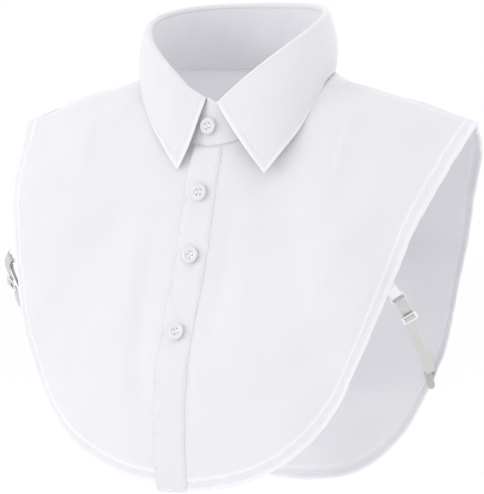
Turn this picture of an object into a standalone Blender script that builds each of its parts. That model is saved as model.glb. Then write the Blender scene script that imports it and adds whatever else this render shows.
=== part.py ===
"""A detachable shirt collar: two short buttoned fronts, a back, a stand and a pointed fall,
held at the sides by elastic straps, in the hollow form that it keeps when it is worn.

Metres, +Z up. The wearer faces -Y and the wearer's left side is +X. The origin is the middle
of the neck, level with the points where the shoulder seams meet the neckline.
"""
import math

import bmesh
import bpy
import numpy as np
from mathutils import Matrix, Vector

# cloth
WALL = 0.0010                # thickness of every cloth wall
SEAM_GAP = 0.0003            # clearance between two sewn pieces
LAYER = WALL + SEAM_GAP      # step from one layer of cloth to the next

# neck seam, where the stand meets the fronts and the back
NECK_HALF_WIDTH = 0.0650
NECK_MIDDLE = -0.0085        # y of the widest place
NECK_FRONT = 0.0485          # from the widest place forwards
NECK_BACK = 0.060            # from the widest place backwards
NECK_BACK_HEIGHT = 0.008
NECK_DROP = 0.053            # from centre back down to centre front
NECK_DROP_POWER = 2.56
COLLAR_TURN = math.radians(4.5)      # the collar sits turned towards the wearer's left
SHOULDER_ANGLE = math.radians(96)   # where a shoulder seam meets the neck, from centre front
SEAM_ANGLE = SEAM_GAP / 2 / NECK_HALF_WIDTH

# fold line, where the fall turns over the stand
FOLD_HALF_WIDTH = 0.0620
FOLD_FRONT = 0.0450
FOLD_BACK = 0.0531
FOLD_BACK_HEIGHT = 0.0530
FOLD_DROP = 0.0740
FOLD_DROP_POWER = 2.7
FOLD_ROLL = 0.0016           # inner radius of the roll
STAND_BELOW_FOLD = 0.0040    # the stand's top edge ends this far below the roll
STAND_LAP = math.radians(12)        # each end passes centre front by this much
STAND_FADE = math.radians(24)       # the outer end comes back to the ring over this much
STAND_COLUMNS = 64
STAND_CORNER = 0.0080        # the outer end's top corner rounds off by this much
STAND_FRONT_TOP = -0.0168    # between the leaf's two ends the top edge comes no lower

# fall
FALL_START = math.radians(6)        # the leaf starts this far from centre front
FALL_BULGE = 0.0030          # how far the leaf rounds out between its fold and its edge

# shoulders
SHOULDER_TIP = (0.178, 0.004, -0.033)
SHOULDER_RISE = 0.0015       # how far the seam bows up between the neck and the tip
LEFT_TIP_RISE = 0.0032       # the left tip sits this much higher than the right one
SHOULDER_ROUND = 0.006       # how far the cloth rounds out beside the seam

# fronts
FRONT_LAP = 0.0115           # each front passes the centre line by this much
FRONT_SPREAD_TOP = 0.109     # surface length of half a front along the neckline
FRONT_SPREAD_HEM = 0.345     # and along its outer edge
HEM_STEP = 0.0025            # the left hem hangs this much lower, the right this much higher
PLACKET_WIDTH = 0.0225
BUTTON_HEIGHTS = (-0.0777, -0.1203, -0.1715)
STAND_BUTTON_SHARE = 0.42    # height on the stand
BUTTON_STAND_OFF = 0.0004    # the curved stand falls away under the flat button

# button
BUTTON_RADIUS = 0.00575
BUTTON_THICKNESS = 0.0028
BUTTON_RIM = 0.0012
BUTTON_DISH = 0.0008
BUTTON_HOLE_RADIUS = 0.00075
BUTTON_HOLE_SPREAD = 0.0013  # from the middle to a hole, along x and along y
BUTTON_STEPS = 20

# side straps
ELASTIC_WIDTH = 0.0065
TAB_WIDTH = 0.0076
TAB_LENGTH = 0.0080          # from the front's edge to the first bar of the ring
SEWN_LENGTH = 0.0080         # of a strap end that lies inside the cloth's edge
WIRE_RADIUS = 0.0007
RING_WIDTH = 0.0096          # wire middle to wire middle
RING_LENGTH = 0.0070
SLIDER_PLACE = 0.036         # middle of the slider, along the strap
SLIDER_LENGTH = 0.0100
SLIDER_WIDTH = 0.0110
SLIDER_THICKNESS = 0.0012
SLIDER_CORNER = 0.0015
SLOT_LENGTH = 0.0024
SLOT_WIDTH = 0.0078
SLOT_CORNER = 0.0006
SLOT_SPREAD = 0.0021         # from the middle bar's middle to a slot's middle

# route of each strap from the front's edge to the back's edge: x, y, z
STRAP_LEFT = [
    (0.1437, -0.0590, -0.1390),
    (0.1442, -0.0500, -0.1450),
    (0.1439, -0.0400, -0.1517),
    (0.1413, -0.0250, -0.1606),
    (0.1362, -0.0100, -0.1680),
    (0.1298, 0.0100, -0.1777),
    (0.1251, 0.0300, -0.1881),
    (0.1206, 0.0480, -0.1975),
    (0.1165, 0.0625, -0.2050),
    (0.1133, 0.0722, -0.2135),
]
STRAP_RIGHT = [
    (-0.1505, -0.0520, -0.1180),
    (-0.1552, -0.0520, -0.1235),
    (-0.1619, -0.0485, -0.1293),
    (-0.1641, -0.0450, -0.1352),
    (-0.1640, -0.0410, -0.1415),
    (-0.1632, -0.0360, -0.1505),
    (-0.1637, -0.0300, -0.1625),
    (-0.1590, -0.0180, -0.1740),
    (-0.1480, 0.0080, -0.1870),
    (-0.1340, 0.0380, -0.1975),
    (-0.1200, 0.0600, -0.2050),
    (-0.1133, 0.0722, -0.2135),
]
STRAP_WIDTH = (0.75, 0.42, 0.50)     # the left band's width direction between its ends
STRAP_WIDTH_SHARES = (0.0, 0.25, 0.85, 1.0)
STRAP_CLEAR = 0.0021         # from a panel's inner face to the middle layer of a strap's end
PAST_EDGE = 0.0050           # a strap's end passes the back's edge by this much

# centre front, from the neck seam to the hem: x, y, z of the innermost layer
CENTRE_FRONT = [
    (0.0051, -0.0568, -0.045),
    (0.0038, -0.0640, -0.073),
    (0.0022, -0.0700, -0.105),
    (0.0010, -0.0775, -0.135),
    (-0.0004, -0.0900, -0.172),
    (-0.0012, -0.0980, -0.205),
    (-0.0018, -0.0990, -0.240),
    (-0.0020, -0.0950, -0.2765),
]

# outer edge of a front, from the centre of the hem to the shoulder tip: half width, y, z
FRONT_EDGE = [
    (0.000, -0.0950, -0.2765),
    (0.047, -0.0930, -0.270),
    (0.085, -0.0860, -0.251),
    (0.113, -0.0795, -0.219),
    (0.131, -0.0730, -0.180),
    (0.147, -0.0570, -0.130),
    (0.160, -0.0425, -0.087),
    SHOULDER_TIP,
]

# centre back, from the neck seam to the hem: x, y, z
CENTRE_BACK = [
    (0.0, 0.0515, 0.008),
    (0.0, 0.0640, -0.040),
    (0.0, 0.0770, -0.100),
    (0.0, 0.0835, -0.170),
    (0.0, 0.0850, -0.230),
    (0.0, 0.0840, -0.291),
]

# outer edge of the back, from the centre of the hem to the shoulder tip: half width, y, z
BACK_EDGE = [
    (0.000, 0.0840, -0.291),
    (0.052, 0.0825, -0.282),
    (0.0885, 0.0785, -0.254),
    (0.1145, 0.0720, -0.212),
    (0.1305, 0.0625, -0.175),
    (0.146, 0.0530, -0.128),
    (0.160, 0.0400, -0.085),
    (0.173, 0.0220, -0.052),
    SHOULDER_TIP,
]

# lower edge of the fall, from the centre back to each point: x, y, z
FALL_EDGE_LEFT = [
    (0.0000, 0.0575, 0.0045),
    (0.0290, 0.0515, 0.0055),
    (0.0514, 0.0355, 0.0068),
    (0.0655, 0.0125, 0.0057),
    (0.0700, -0.0100, -0.0010),
    (0.0708, -0.0275, -0.0144),
    (0.0670, -0.0430, -0.0330),
    (0.0600, -0.0545, -0.0475),
    (0.0505, -0.0625, -0.0630),
]
FALL_EDGE_RIGHT = [
    (0.0000, 0.0575, 0.0045),
    (-0.0290, 0.0515, 0.0055),
    (-0.0514, 0.0355, 0.0068),
    (-0.0655, 0.0125, 0.0060),
    (-0.0690, -0.0100, 0.0006),
    (-0.0603, -0.0325, -0.0118),
    (-0.0440, -0.0490, -0.0310),
    (-0.0300, -0.0590, -0.0455),
    (-0.0155, -0.0645, -0.0615),
]

# soft folds of a panel: share across, width, height, and where they start and end going down
FRONT_FOLDS = [
    (-0.66, 0.10, 0.0020, 0.20, 1.30),
    (-0.43, 0.09, -0.0022, 0.20, 1.30),
    (-0.24, 0.08, 0.0016, 0.20, 1.30),
    (0.20, 0.07, 0.0014, 0.25, 1.30),
    (0.36, 0.08, -0.0022, 0.20, 1.30),
    (0.56, 0.10, 0.0022, 0.15, 1.20),
    (0.76, 0.09, -0.0018, 0.30, 1.30),
]
BACK_FOLDS = [
    (-0.62, 0.11, 0.0024, 0.15, 1.30),
    (-0.34, 0.10, -0.0028, 0.20, 1.30),
    (-0.05, 0.11, 0.0020, 0.25, 1.30),
    (0.24, 0.10, -0.0024, 0.20, 1.30),
    (0.50, 0.11, 0.0026, 0.15, 1.30),
    (0.78, 0.09, -0.0016, 0.30, 1.30),
]

WHITE_CLOTH = (0.87, 0.87, 0.90)
WHITE_BUTTON = (0.86, 0.86, 0.86)
ELASTIC_WHITE = (0.78, 0.78, 0.75)
SILVER = (0.80, 0.80, 0.82)


def smooth(t):
    """Rises from 0 to 1 without a corner."""
    t = np.clip(t, 0.0, 1.0)
    return t * t * (3.0 - 2.0 * t)


def curve_through(rows, share):
    """A smooth curve through the rows, read at shares of its length."""
    rows = np.asarray(rows, float)
    share = np.asarray(share, float)
    ahead = np.vstack([2 * rows[0] - rows[1], rows, 2 * rows[-1] - rows[-2]])
    steps = np.linalg.norm(np.diff(rows, axis=0), axis=1)
    marks = np.concatenate([[0.0], np.cumsum(steps)]) / steps.sum()
    at = np.clip(np.searchsorted(marks, share, side="right") - 1, 0, len(rows) - 2)
    t = ((share - marks[at]) / (marks[at + 1] - marks[at]))[..., None]
    before, start, end, after = (ahead[at + k] for k in range(4))
    return 0.5 * (2 * start + (end - before) * t
                  + (2 * before - 5 * start + 4 * end - after) * t ** 2
                  + (3 * start - before - 3 * end + after) * t ** 3)


def ring(angle, half_width, front, back):
    """Plan of a ring about the neck, by the angle from the collar's own centre front."""
    turned = angle + COLLAR_TURN * (1.0 + np.cos(angle)) / 2.0
    depth = np.where(np.cos(turned) > 0.0, front, back)
    return half_width * np.sin(turned), NECK_MIDDLE - depth * np.cos(turned)


def neck_seam(angle):
    """Seam of the stand with the fronts and the back."""
    angle = np.asarray(angle, float)
    x, y = ring(angle, NECK_HALF_WIDTH, NECK_FRONT, NECK_BACK)
    near = (1.0 + np.cos(angle)) / 2.0
    z = NECK_BACK_HEIGHT - NECK_DROP * near ** NECK_DROP_POWER
    return np.stack([x, y, z], -1)


def fold_line(angle):
    """Top of the collar, where the fall turns over."""
    angle = np.asarray(angle, float)
    x, y = ring(angle, FOLD_HALF_WIDTH, FOLD_FRONT, FOLD_BACK)
    near = 1.0 - np.arccos(np.clip(np.cos(angle), -1.0, 1.0)) / math.pi
    z = FOLD_BACK_HEIGHT - FOLD_DROP * near ** FOLD_DROP_POWER
    return np.stack([x, y, z], -1)


def ring_outwards(line, angle):
    """Level direction away from the neck at an angle of a ring."""
    step = 1e-3
    along = line(angle + step) - line(angle - step)
    outwards = np.stack([along[..., 1], -along[..., 0], np.zeros_like(angle)], -1)
    return outwards / np.linalg.norm(outwards, axis=-1, keepdims=True)


def coons(across, down, centre, shoulder, neck, edge):
    """A panel between its centre line, shoulder seams, neckline and outer edge."""
    blend = smooth(np.abs(across))[..., None]
    v = down[..., None]
    sides = (1 - blend) * centre(down) + blend * shoulder(down, across)
    ends = (1 - v) * neck(across) + v * edge(across)
    middle = np.zeros_like(across)
    tip = np.where(across < 0.0, -1.0, 1.0)
    corners = (1 - v) * ((1 - blend) * neck(middle) + blend * neck(tip)) \
        + v * ((1 - blend) * edge(middle) + blend * edge(tip))
    return sides + ends - corners


def panel_folds(across, down, folds):
    """How far the soft folds lift the cloth."""
    lift = np.zeros_like(across)
    for place, width, height, start, end in folds:
        spread = (across - place) / width
        along = smooth((down - start) / 0.3) * smooth((end - down) / 0.3)
        lift = lift + height * np.exp(-spread ** 2) * along
    return lift


def round_shoulder(across, down):
    """How far the cloth rounds out beside the shoulder seams."""
    reach = np.clip(np.abs(across), 0.0, 1.0)
    middle = np.sin(math.pi * np.clip(down, 0.0, 1.0)) ** 0.7
    return SHOULDER_ROUND * np.sin(math.pi * reach ** 2) * middle


def both_sides(rows):
    """A half outline, given from its middle, with its mirror image before it."""
    rows = np.array(rows)
    mirrored = rows[:0:-1] * np.array([-1.0, 1.0, 1.0])
    return np.vstack([mirrored, rows])


def panel(turn, centre_rows, edge_rows, middle_angle, shoulder_angle, seam_step, folds):
    """Surface of a whole front or back: across is -1 at the right shoulder, +1 at the left."""
    outline = both_sides(edge_rows)
    outline[len(edge_rows) - 1] = centre_rows[-1]
    outline[[0, -1], 1] += seam_step
    outline[-1, 2] += LEFT_TIP_RISE
    centre_line = np.array(centre_rows)
    centre_line[0] = neck_seam(middle_angle)

    def centre(share):
        return curve_through(centre_line, share)

    def neck(share):
        return neck_seam(middle_angle + share * (shoulder_angle - middle_angle))

    def edge(share):
        return curve_through(outline, (share + 1.0) / 2.0)

    def shoulder(share, across):
        side = np.where(across < 0.0, -1.0, 1.0)
        share = share[..., None]
        rise = np.array([0.0, 0.0, SHOULDER_RISE]) * 4 * share * (1 - share)
        return neck(side) * (1 - share) + edge(side) * share + rise

    def points_at(across, down):
        return coons(across, down, centre, shoulder, neck, edge)

    def place(across, down, lift=0.0):
        across, down = np.broadcast_arrays(np.asarray(across, float), np.asarray(down, float))
        step = 1e-3
        to_left = points_at(across + step, down) - points_at(across - step, down)
        below = points_at(across, down + step) - points_at(across, down - step)
        normal = np.cross(below, to_left) * turn
        normal /= np.linalg.norm(normal, axis=-1, keepdims=True)
        lift = lift + round_shoulder(across, down) + panel_folds(across, down, folds)
        return points_at(across, down) + normal * lift[..., None]
    return place


whole_front = panel(1, CENTRE_FRONT, FRONT_EDGE, 0.0, SHOULDER_ANGLE - SEAM_ANGLE,
                    -SEAM_GAP / 2, FRONT_FOLDS)
whole_back = panel(-1, CENTRE_BACK, BACK_EDGE, math.pi, SHOULDER_ANGLE + SEAM_ANGLE,
                   SEAM_GAP / 2, BACK_FOLDS)


def share_of(distance, down):
    """Share across a front of a distance from the centre line."""
    return distance / (FRONT_SPREAD_TOP * (1 - down) + FRONT_SPREAD_HEM * down)


def hem_reach(side, across):
    """How far down a front goes: the two hems end at their own heights."""
    reach = 1.0 + side * HEM_STEP / 0.235
    return 1.0 + (reach - 1.0) * smooth((0.75 - np.abs(across)) / 0.5)


def lap_lift(distance):
    """The left front lies over the right one, and comes back down beyond its edge."""
    return LAYER * smooth((FRONT_LAP + 0.028 - distance) / 0.024)


def left_front(u, v):
    """Left front, u from its free edge to the shoulder seam, v from the neck to the hem."""
    start = share_of(-FRONT_LAP, v)
    across = start + (1.0 - start) * u
    down = v * hem_reach(1, across)
    distance = across * (FRONT_SPREAD_TOP * (1 - v) + FRONT_SPREAD_HEM * v)
    return whole_front(across, down, lap_lift(distance))


def right_front(u, v):
    """Right front, u from its free edge to the shoulder seam, v from the neck to the hem."""
    start = share_of(FRONT_LAP, v)
    across = start - (1.0 + start) * u
    return whole_front(across, v * hem_reach(-1, across))


def placket_strip(u, v):
    """Button strip along the left front's free edge."""
    distance = -FRONT_LAP + PLACKET_WIDTH * u
    down = 0.004 + 0.996 * v
    across = share_of(distance, down)
    return whole_front(across, down * hem_reach(1, across), 2 * LAYER)


def back(u, v):
    """Back, u from the right shoulder seam to the left."""
    return whole_back(2 * u - 1, v)


def stand_point(angle, share, lift=0.0):
    """Outer stand or its layers: share runs from the neck seam up to the top edge."""
    angle, share = np.broadcast_arrays(np.asarray(angle, float), np.asarray(share, float))
    turned = (angle + math.pi) % (2 * math.pi) - math.pi
    bottom = neck_seam(angle) + np.array([0.0, 0.0, LAYER])
    top = fold_line(angle)
    top[..., 2] = np.maximum(top[..., 2], STAND_FRONT_TOP)
    covered = smooth(np.abs(turned) / (0.75 * FALL_START))
    top[..., 2] -= STAND_BELOW_FOLD * covered
    from_end = (angle + STAND_LAP) / STAND_LAP
    top[..., 2] -= STAND_CORNER * np.clip(1.0 - from_end, 0.0, 1.0) ** 2.5
    outwards = ring_outwards(neck_seam, angle)
    own = LAYER * smooth((STAND_LAP + STAND_FADE - angle) / STAND_FADE)
    along = share[..., None]
    return bottom * (1 - along) + top * along + outwards * (own + lift)[..., None]


def stand(u, v):
    """Stand, u round the neck from its outer end to its inner end, v from the top down."""
    lap = 10 / STAND_COLUMNS
    angle = np.interp(u, (0.0, lap, 1.0 - lap, 1.0),
                      (-STAND_LAP, FALL_START, 2 * math.pi - FALL_START, 2 * math.pi + STAND_LAP))
    return stand_point(angle, 1.0 - v)


# section of the fall from its inner edge over the roll to its outer edge: kind, amount
FALL_SECTION = [
    ("inside", 0.0),
    ("roll", 0.0),
    ("roll", 0.25),
    ("roll", 0.5),
    ("roll", 0.75),
    ("roll", 1.0),
    ("leaf", 0.25),
    ("leaf", 0.5),
    ("leaf", 0.75),
    ("leaf", 1.0),
]


def fall(u, v):
    """Fall, u round the neck from the left point to the right, v across its section."""
    angle = FALL_START + u * 2 * (math.pi - FALL_START)
    crest = fold_line(angle)
    outwards = ring_outwards(fold_line, angle)
    left = curve_through(FALL_EDGE_LEFT, np.clip(1.0 - 2.0 * u, 0.0, 1.0))
    right = curve_through(FALL_EDGE_RIGHT, np.clip(2.0 * u - 1.0, 0.0, 1.0))
    edge = np.where((u <= 0.5)[..., None], left, right)
    up = np.array([0.0, 0.0, 1.0])
    middle = crest + outwards * (WALL + FOLD_ROLL) - up * (WALL + FOLD_ROLL)
    outer = middle + outwards * FOLD_ROLL
    points = np.empty_like(crest)
    rows = np.round(v * (len(FALL_SECTION) - 1)).astype(int)
    for row, (kind, amount) in enumerate(FALL_SECTION):
        here = rows == row
        if kind == "inside":
            points[here] = (crest + outwards * WALL - up * (STAND_BELOW_FOLD - SEAM_GAP))[here]
        elif kind == "roll":
            turn = math.pi * amount
            swing = up * math.sin(turn) - outwards * math.cos(turn)
            points[here] = (middle + swing * FOLD_ROLL)[here]
        else:
            bulge = outwards * FALL_BULGE * math.sin(math.pi * amount)
            points[here] = (outer * (1 - amount) + edge * amount + bulge)[here]
    return points


def start_scene():
    """An empty file with one collection for the collar and one for the cutters."""
    for old in list(bpy.data.objects):
        bpy.data.objects.remove(old, do_unlink=True)
    groups = []
    for name in ("detachable_shirt_collar", "cutters"):
        group = bpy.data.collections.new(name)
        bpy.context.scene.collection.children.link(group)
        groups.append(group)
    return groups


def finish_of(name, colour, roughness, metallic=0.0):
    """A plain material in the piece's own colour."""
    material = bpy.data.materials.new(name)
    material.use_nodes = True
    shader = material.node_tree.nodes["Principled BSDF"]
    shader.inputs["Base Color"].default_value = (*colour, 1.0)
    shader.inputs["Roughness"].default_value = roughness
    shader.inputs["Metallic"].default_value = metallic
    return material


def add_object(name, data, group, material):
    """Links a mesh or curve under its name with its material."""
    made = bpy.data.objects.new(name, data)
    made.data.materials.append(material)
    group.objects.link(made)
    return made


def cloth(name, place, columns, rows, group, material, flip=False):
    """A wall of cloth: its inner face is a grid set by place(u, v), its thickness lies outside."""
    bm = bmesh.new()
    bmesh.ops.create_grid(bm, x_segments=columns, y_segments=rows, size=0.5)
    bm.verts.ensure_lookup_table()
    u = np.array([vert.co.x + 0.5 for vert in bm.verts])
    v = np.array([vert.co.y + 0.5 for vert in bm.verts])
    for vert, point in zip(bm.verts, place(u, v)):
        vert.co = point
    if flip:
        bmesh.ops.reverse_faces(bm, faces=bm.faces)
    mesh = bpy.data.meshes.new(name)
    bm.to_mesh(mesh)
    bm.free()
    made = add_object(name, mesh, group, material)
    wall = made.modifiers.new("wall", "SOLIDIFY")
    wall.thickness = WALL
    wall.offset = 1.0
    mesh.shade_smooth()
    return made


def turned_to(point, normal, along):
    """Placement whose z is a normal and whose x lies along a direction."""
    z = Vector(normal).normalized()
    x = (Vector(along) - z * z.dot(Vector(along))).normalized()
    turn = Matrix((x, z.cross(x), z)).transposed().to_4x4()
    return Matrix.Translation(Vector(point)) @ turn


def button_mesh():
    """A four-hole button: a turned, rimmed disc with its holes cut through."""
    r, t = BUTTON_RADIUS, BUTTON_THICKNESS
    profile = [
        (0.0, t - BUTTON_DISH), (r - BUTTON_RIM - 0.0004, t - BUTTON_DISH),
        (r - BUTTON_RIM, t), (r - 0.0004, t), (r, t - 0.0005), (r, 0.0006), (r - 0.0008, 0.0),
        (0.0, 0.0),
    ]
    mesh = bpy.data.meshes.new("button_profile")
    mesh.from_pydata([(x, 0.0, z) for x, z in profile],
                     [(i, i + 1) for i in range(len(profile) - 1)], [])
    return mesh


def add_button(name, point, normal, along, group, cutters, material):
    """One button with its four holes, set on a point of the cloth."""
    made = add_object(name, button_mesh(), group, material)
    turned = made.modifiers.new("turned", "SCREW")
    turned.steps = turned.render_steps = BUTTON_STEPS
    turned.use_merge_vertices = True
    turned.merge_threshold = 0.00001
    placed = turned_to(point, normal, along)
    for i in (-1, 1):
        for j in (-1, 1):
            bm = bmesh.new()
            bmesh.ops.create_cone(bm, cap_ends=True, segments=8, radius1=BUTTON_HOLE_RADIUS,
                                  radius2=BUTTON_HOLE_RADIUS, depth=4 * BUTTON_THICKNESS)
            cutter_mesh = bpy.data.meshes.new(name + "_hole")
            bm.to_mesh(cutter_mesh)
            bm.free()
            cutter = bpy.data.objects.new(name + "_hole", cutter_mesh)
            cutters.objects.link(cutter)
            spot = Matrix.Translation((i * BUTTON_HOLE_SPREAD, j * BUTTON_HOLE_SPREAD, 0.0))
            cutter.matrix_world = placed @ spot
            cutter.hide_render = True
            cutter.display_type = "WIRE"
            hole = made.modifiers.new("hole", "BOOLEAN")
            hole.operation = "DIFFERENCE"
            hole.object = cutter
    made.matrix_world = placed
    return made


def nearest_share(place, side, point):
    """Share across at which an edge comes nearest to a point."""
    shares = side * np.linspace(0.3, 1.0, 701)
    gaps = np.linalg.norm(place(shares, np.ones_like(shares)) - np.array(point), axis=1)
    return shares[int(np.argmin(gaps))]


def down_the_edge(place, across, length):
    """Share down at which a panel lies a length inside its outer edge."""
    step = 0.01
    last = place(across, 1.0) - place(across, 1.0 - step)
    return 1.0 - length / (np.linalg.norm(last) / step)


def on_panel(place, side, point, length):
    """Where a strap lies inside a panel's edge: inner point, edge point, run and across."""
    share = nearest_share(place, side, point)
    edge = place(share, 1.0, -STRAP_CLEAR)
    inner = place(share, down_the_edge(place, share, length), -STRAP_CLEAR)
    run = (edge - inner) / np.linalg.norm(edge - inner)
    normal = place(share, 1.0, 0.0) - place(share, 1.0, -1e-3)
    across = np.cross(run, normal)
    across *= side * np.sign(across[0]) / np.linalg.norm(across)
    return inner, edge, run, across


class Strap:
    """A side strap: its smooth route and, along it, the band's own directions."""

    def __init__(self, side, rows):
        self.side = side
        rows = np.array(rows)
        self.front_inside, rows[0], _, front = on_panel(whole_front, side, rows[0], SEWN_LENGTH)
        rows[-1], edge, run, back = on_panel(whole_back, side, rows[-1], SEWN_LENGTH)
        self.back_end = edge + run * PAST_EDGE
        self.points = curve_through(rows, np.linspace(0.0, 1.0, 400))
        steps = np.linalg.norm(np.diff(self.points, axis=0), axis=1)
        self.marks = np.concatenate([[0.0], np.cumsum(steps)])
        self.length = self.marks[-1]
        middle = np.array(STRAP_WIDTH) * np.array([side, 1.0, 1.0])
        self.widths = np.array([front, middle, middle, back])
        self.width_marks = np.array(STRAP_WIDTH_SHARES) * self.length

    def at(self, length):
        """Point, direction along, direction across and outward direction at a length."""
        def read(place):
            return np.array([np.interp(place, self.marks, self.points[:, k]) for k in range(3)])
        along = read(length + 0.002) - read(length - 0.002)
        along /= np.linalg.norm(along)
        across = np.array([np.interp(length, self.width_marks, self.widths[:, k]) for k in range(3)])
        across -= along * across.dot(along)
        across /= np.linalg.norm(across)
        outward = np.cross(across, along) * self.side
        return read(length), along, across, outward

    def band_path(self, pairs):
        """Points and width directions for pairs of length along and distance outward."""
        points, widths = [], []
        for length, out in pairs:
            point, _, across, outward = self.at(length)
            points.append(point + outward * out)
            widths.append(across)
        return points, widths


def around_bar(length, direction):
    """Half a turn about a ring's bar: pairs of length along and distance outward."""
    radius = WIRE_RADIUS + SEAM_GAP
    pairs = []
    for k in range(7):
        turn = math.pi * k / 6
        pairs.append((length + direction * radius * math.sin(turn), radius * (1 - math.cos(turn))))
    return pairs


def add_band(name, points, widths, width, group, material, flip):
    """A flat band along a path, its wall on one side of the path."""
    points, widths = np.array(points), np.array(widths)
    steps = np.linalg.norm(np.diff(points, axis=0), axis=1)
    last = len(points) - 1

    def place(u, v):
        rows = np.round(u * last).astype(int)
        return points[rows] + widths[rows] * ((v - 0.5) * width)[:, None]
    assert steps.min() > 1e-5
    return cloth(name, place, last, 1, group, material, flip)


def add_tab(strap, name, group, material):
    """A loop of cloth from inside the front's edge round the ring's first bar."""
    turn = WIRE_RADIUS + SEAM_GAP
    pairs = [(0.0, 0.0), (0.0025, 0.0), (0.005, 0.0)] + around_bar(TAB_LENGTH, 1)
    pairs += [(0.005, 2 * turn), (0.0025, 2 * turn)]
    points, widths = strap.band_path(pairs)
    points.insert(0, strap.front_inside)
    widths[:1] = [strap.widths[0], strap.widths[0]]
    add_band(name, points, widths, TAB_WIDTH, group, material, strap.side < 0)


def add_elastic(strap, name, group, material):
    """The elastic: from its free end round the ring's second bar and on to the back."""
    turn = WIRE_RADIUS + SEAM_GAP
    second = TAB_LENGTH + RING_LENGTH
    free_end = SLIDER_PLACE + SLIDER_LENGTH / 2
    pairs = [(free_end + (second + 0.002 - free_end) * k / 4, 2 * turn) for k in range(5)]
    pairs += around_bar(second, -1)[::-1]
    count = 18
    start = second + 0.002
    pairs += [(start + (strap.length - start) * k / count, 0.0) for k in range(count + 1)]
    points, widths = strap.band_path(pairs)
    points[-1:] = [points[-1], strap.back_end]
    widths[-1:] = [strap.widths[-1], strap.widths[-1]]
    add_band(name, points, widths, ELASTIC_WIDTH, group, material, strap.side < 0)


def rounded_rectangle(length, width, corner, steps=4):
    """Points of a rectangle with round corners, anticlockwise."""
    points = []
    for k, (i, j) in enumerate([(1, 1), (-1, 1), (-1, -1), (1, -1)]):
        middle = (i * (length / 2 - corner), j * (width / 2 - corner))
        for step in range(steps):
            turn = math.pi / 2 * (k + step / (steps - 1))
            points.append((middle[0] + corner * math.cos(turn), middle[1] + corner * math.sin(turn)))
    return points


def closed_line(curve, points):
    """Adds a closed spline through flat points to a curve."""
    spline = curve.splines.new("POLY")
    spline.points.add(len(points) - 1)
    for knot, (x, y) in zip(spline.points, points):
        knot.co = (x, y, 0.0, 1.0)
    spline.use_cyclic_u = True


def add_ring(strap, name, group, material):
    """A bent wire ring that joins the tab and the elastic."""
    curve = bpy.data.curves.new(name, "CURVE")
    curve.dimensions = "3D"
    closed_line(curve, rounded_rectangle(RING_LENGTH, RING_WIDTH, 0.0014))
    curve.bevel_depth = WIRE_RADIUS
    curve.bevel_resolution = 2
    made = add_object(name, curve, group, material)
    point, along, _, outward = strap.at(TAB_LENGTH + RING_LENGTH / 2)
    point = point + outward * (WIRE_RADIUS + SEAM_GAP)
    made.matrix_world = turned_to(point, outward, along)


def add_slider(strap, name, group, material):
    """A flat slider with two slots, over the elastic."""
    curve = bpy.data.curves.new(name, "CURVE")
    curve.dimensions = "2D"
    curve.fill_mode = "BOTH"
    curve.extrude = SLIDER_THICKNESS / 2
    closed_line(curve, rounded_rectangle(SLIDER_LENGTH, SLIDER_WIDTH, SLIDER_CORNER))
    for side in (-1, 1):
        slot = rounded_rectangle(SLOT_LENGTH, SLOT_WIDTH, SLOT_CORNER)
        closed_line(curve, [(x + side * SLOT_SPREAD, y) for x, y in slot])
    made = add_object(name, curve, group, material)
    point, along, _, outward = strap.at(SLIDER_PLACE)
    point = point - outward * (WALL + 2 * SEAM_GAP + SLIDER_THICKNESS / 2)
    made.matrix_world = turned_to(point, outward, along)


def share_at_height(height):
    """Share down the centre front at which it lies at a height."""
    down = np.linspace(0.0, 1.0, 1001)
    return float(np.interp(-height, -whole_front(np.zeros_like(down), down)[:, 2], down))


def add_front_buttons(group, cutters, material):
    """Three buttons down the middle of the placket."""
    for number, height in enumerate(BUTTON_HEIGHTS, start=1):
        down = share_at_height(height)
        foot = whole_front(0.0, down, 2 * LAYER + WALL + SEAM_GAP)
        normal = whole_front(0.0, down, 1e-3) - whole_front(0.0, down)
        along = whole_front(0.0, down + 0.01) - whole_front(0.0, down)
        add_button("button_%d" % number, foot, normal, along, group, cutters, material)


def add_collar_button(group, cutters, material):
    """The button on the outer end of the stand."""
    angle = np.array(0.0)
    foot = stand_point(angle, STAND_BUTTON_SHARE, WALL + SEAM_GAP + BUTTON_STAND_OFF)
    along = stand_point(angle, 0.0) - stand_point(angle, 1.0)
    across = stand_point(angle + 0.05, STAND_BUTTON_SHARE) \
        - stand_point(angle - 0.05, STAND_BUTTON_SHARE)
    normal = np.cross(along, across)
    normal *= -1.0 if normal[1] > 0.0 else 1.0
    add_button("button_collar", foot, normal, along, group, cutters, material)


def main():
    group, cutters = start_scene()
    white = finish_of("white_cloth", WHITE_CLOTH, 0.85)
    pearl = finish_of("white_button", WHITE_BUTTON, 0.30)
    elastic = finish_of("elastic", ELASTIC_WHITE, 0.80)
    silver = finish_of("silver", SILVER, 0.25, 1.0)

    cloth("front_left", left_front, 18, 16, group, white, flip=True)
    cloth("front_right", right_front, 18, 16, group, white)
    cloth("placket", placket_strip, 3, 22, group, white, flip=True)
    cloth("back", back, 32, 16, group, white)
    cloth("collar_stand", stand, STAND_COLUMNS, 3, group, white, flip=True)
    cloth("collar_fall", fall, 60, len(FALL_SECTION) - 1, group, white)
    add_collar_button(group, cutters, pearl)
    add_front_buttons(group, cutters, pearl)
    for side, name, rows in ((1, "left", STRAP_LEFT), (-1, "right", STRAP_RIGHT)):
        strap = Strap(side, rows)
        add_tab(strap, "tab_" + name, group, white)
        add_ring(strap, "ring_" + name, group, silver)
        add_slider(strap, "slider_" + name, group, silver)
        add_elastic(strap, "elastic_" + name, group, elastic)


main()
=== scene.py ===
"""A white detachable shirt collar, hollow as when it is worn, in soft studio light.

Metres, +Z up. The wearer faces -Y and the wearer's left side is +X. The panels, the stand and
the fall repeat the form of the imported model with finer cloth: hems, seams, creases and stitches.
"""
import math

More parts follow.
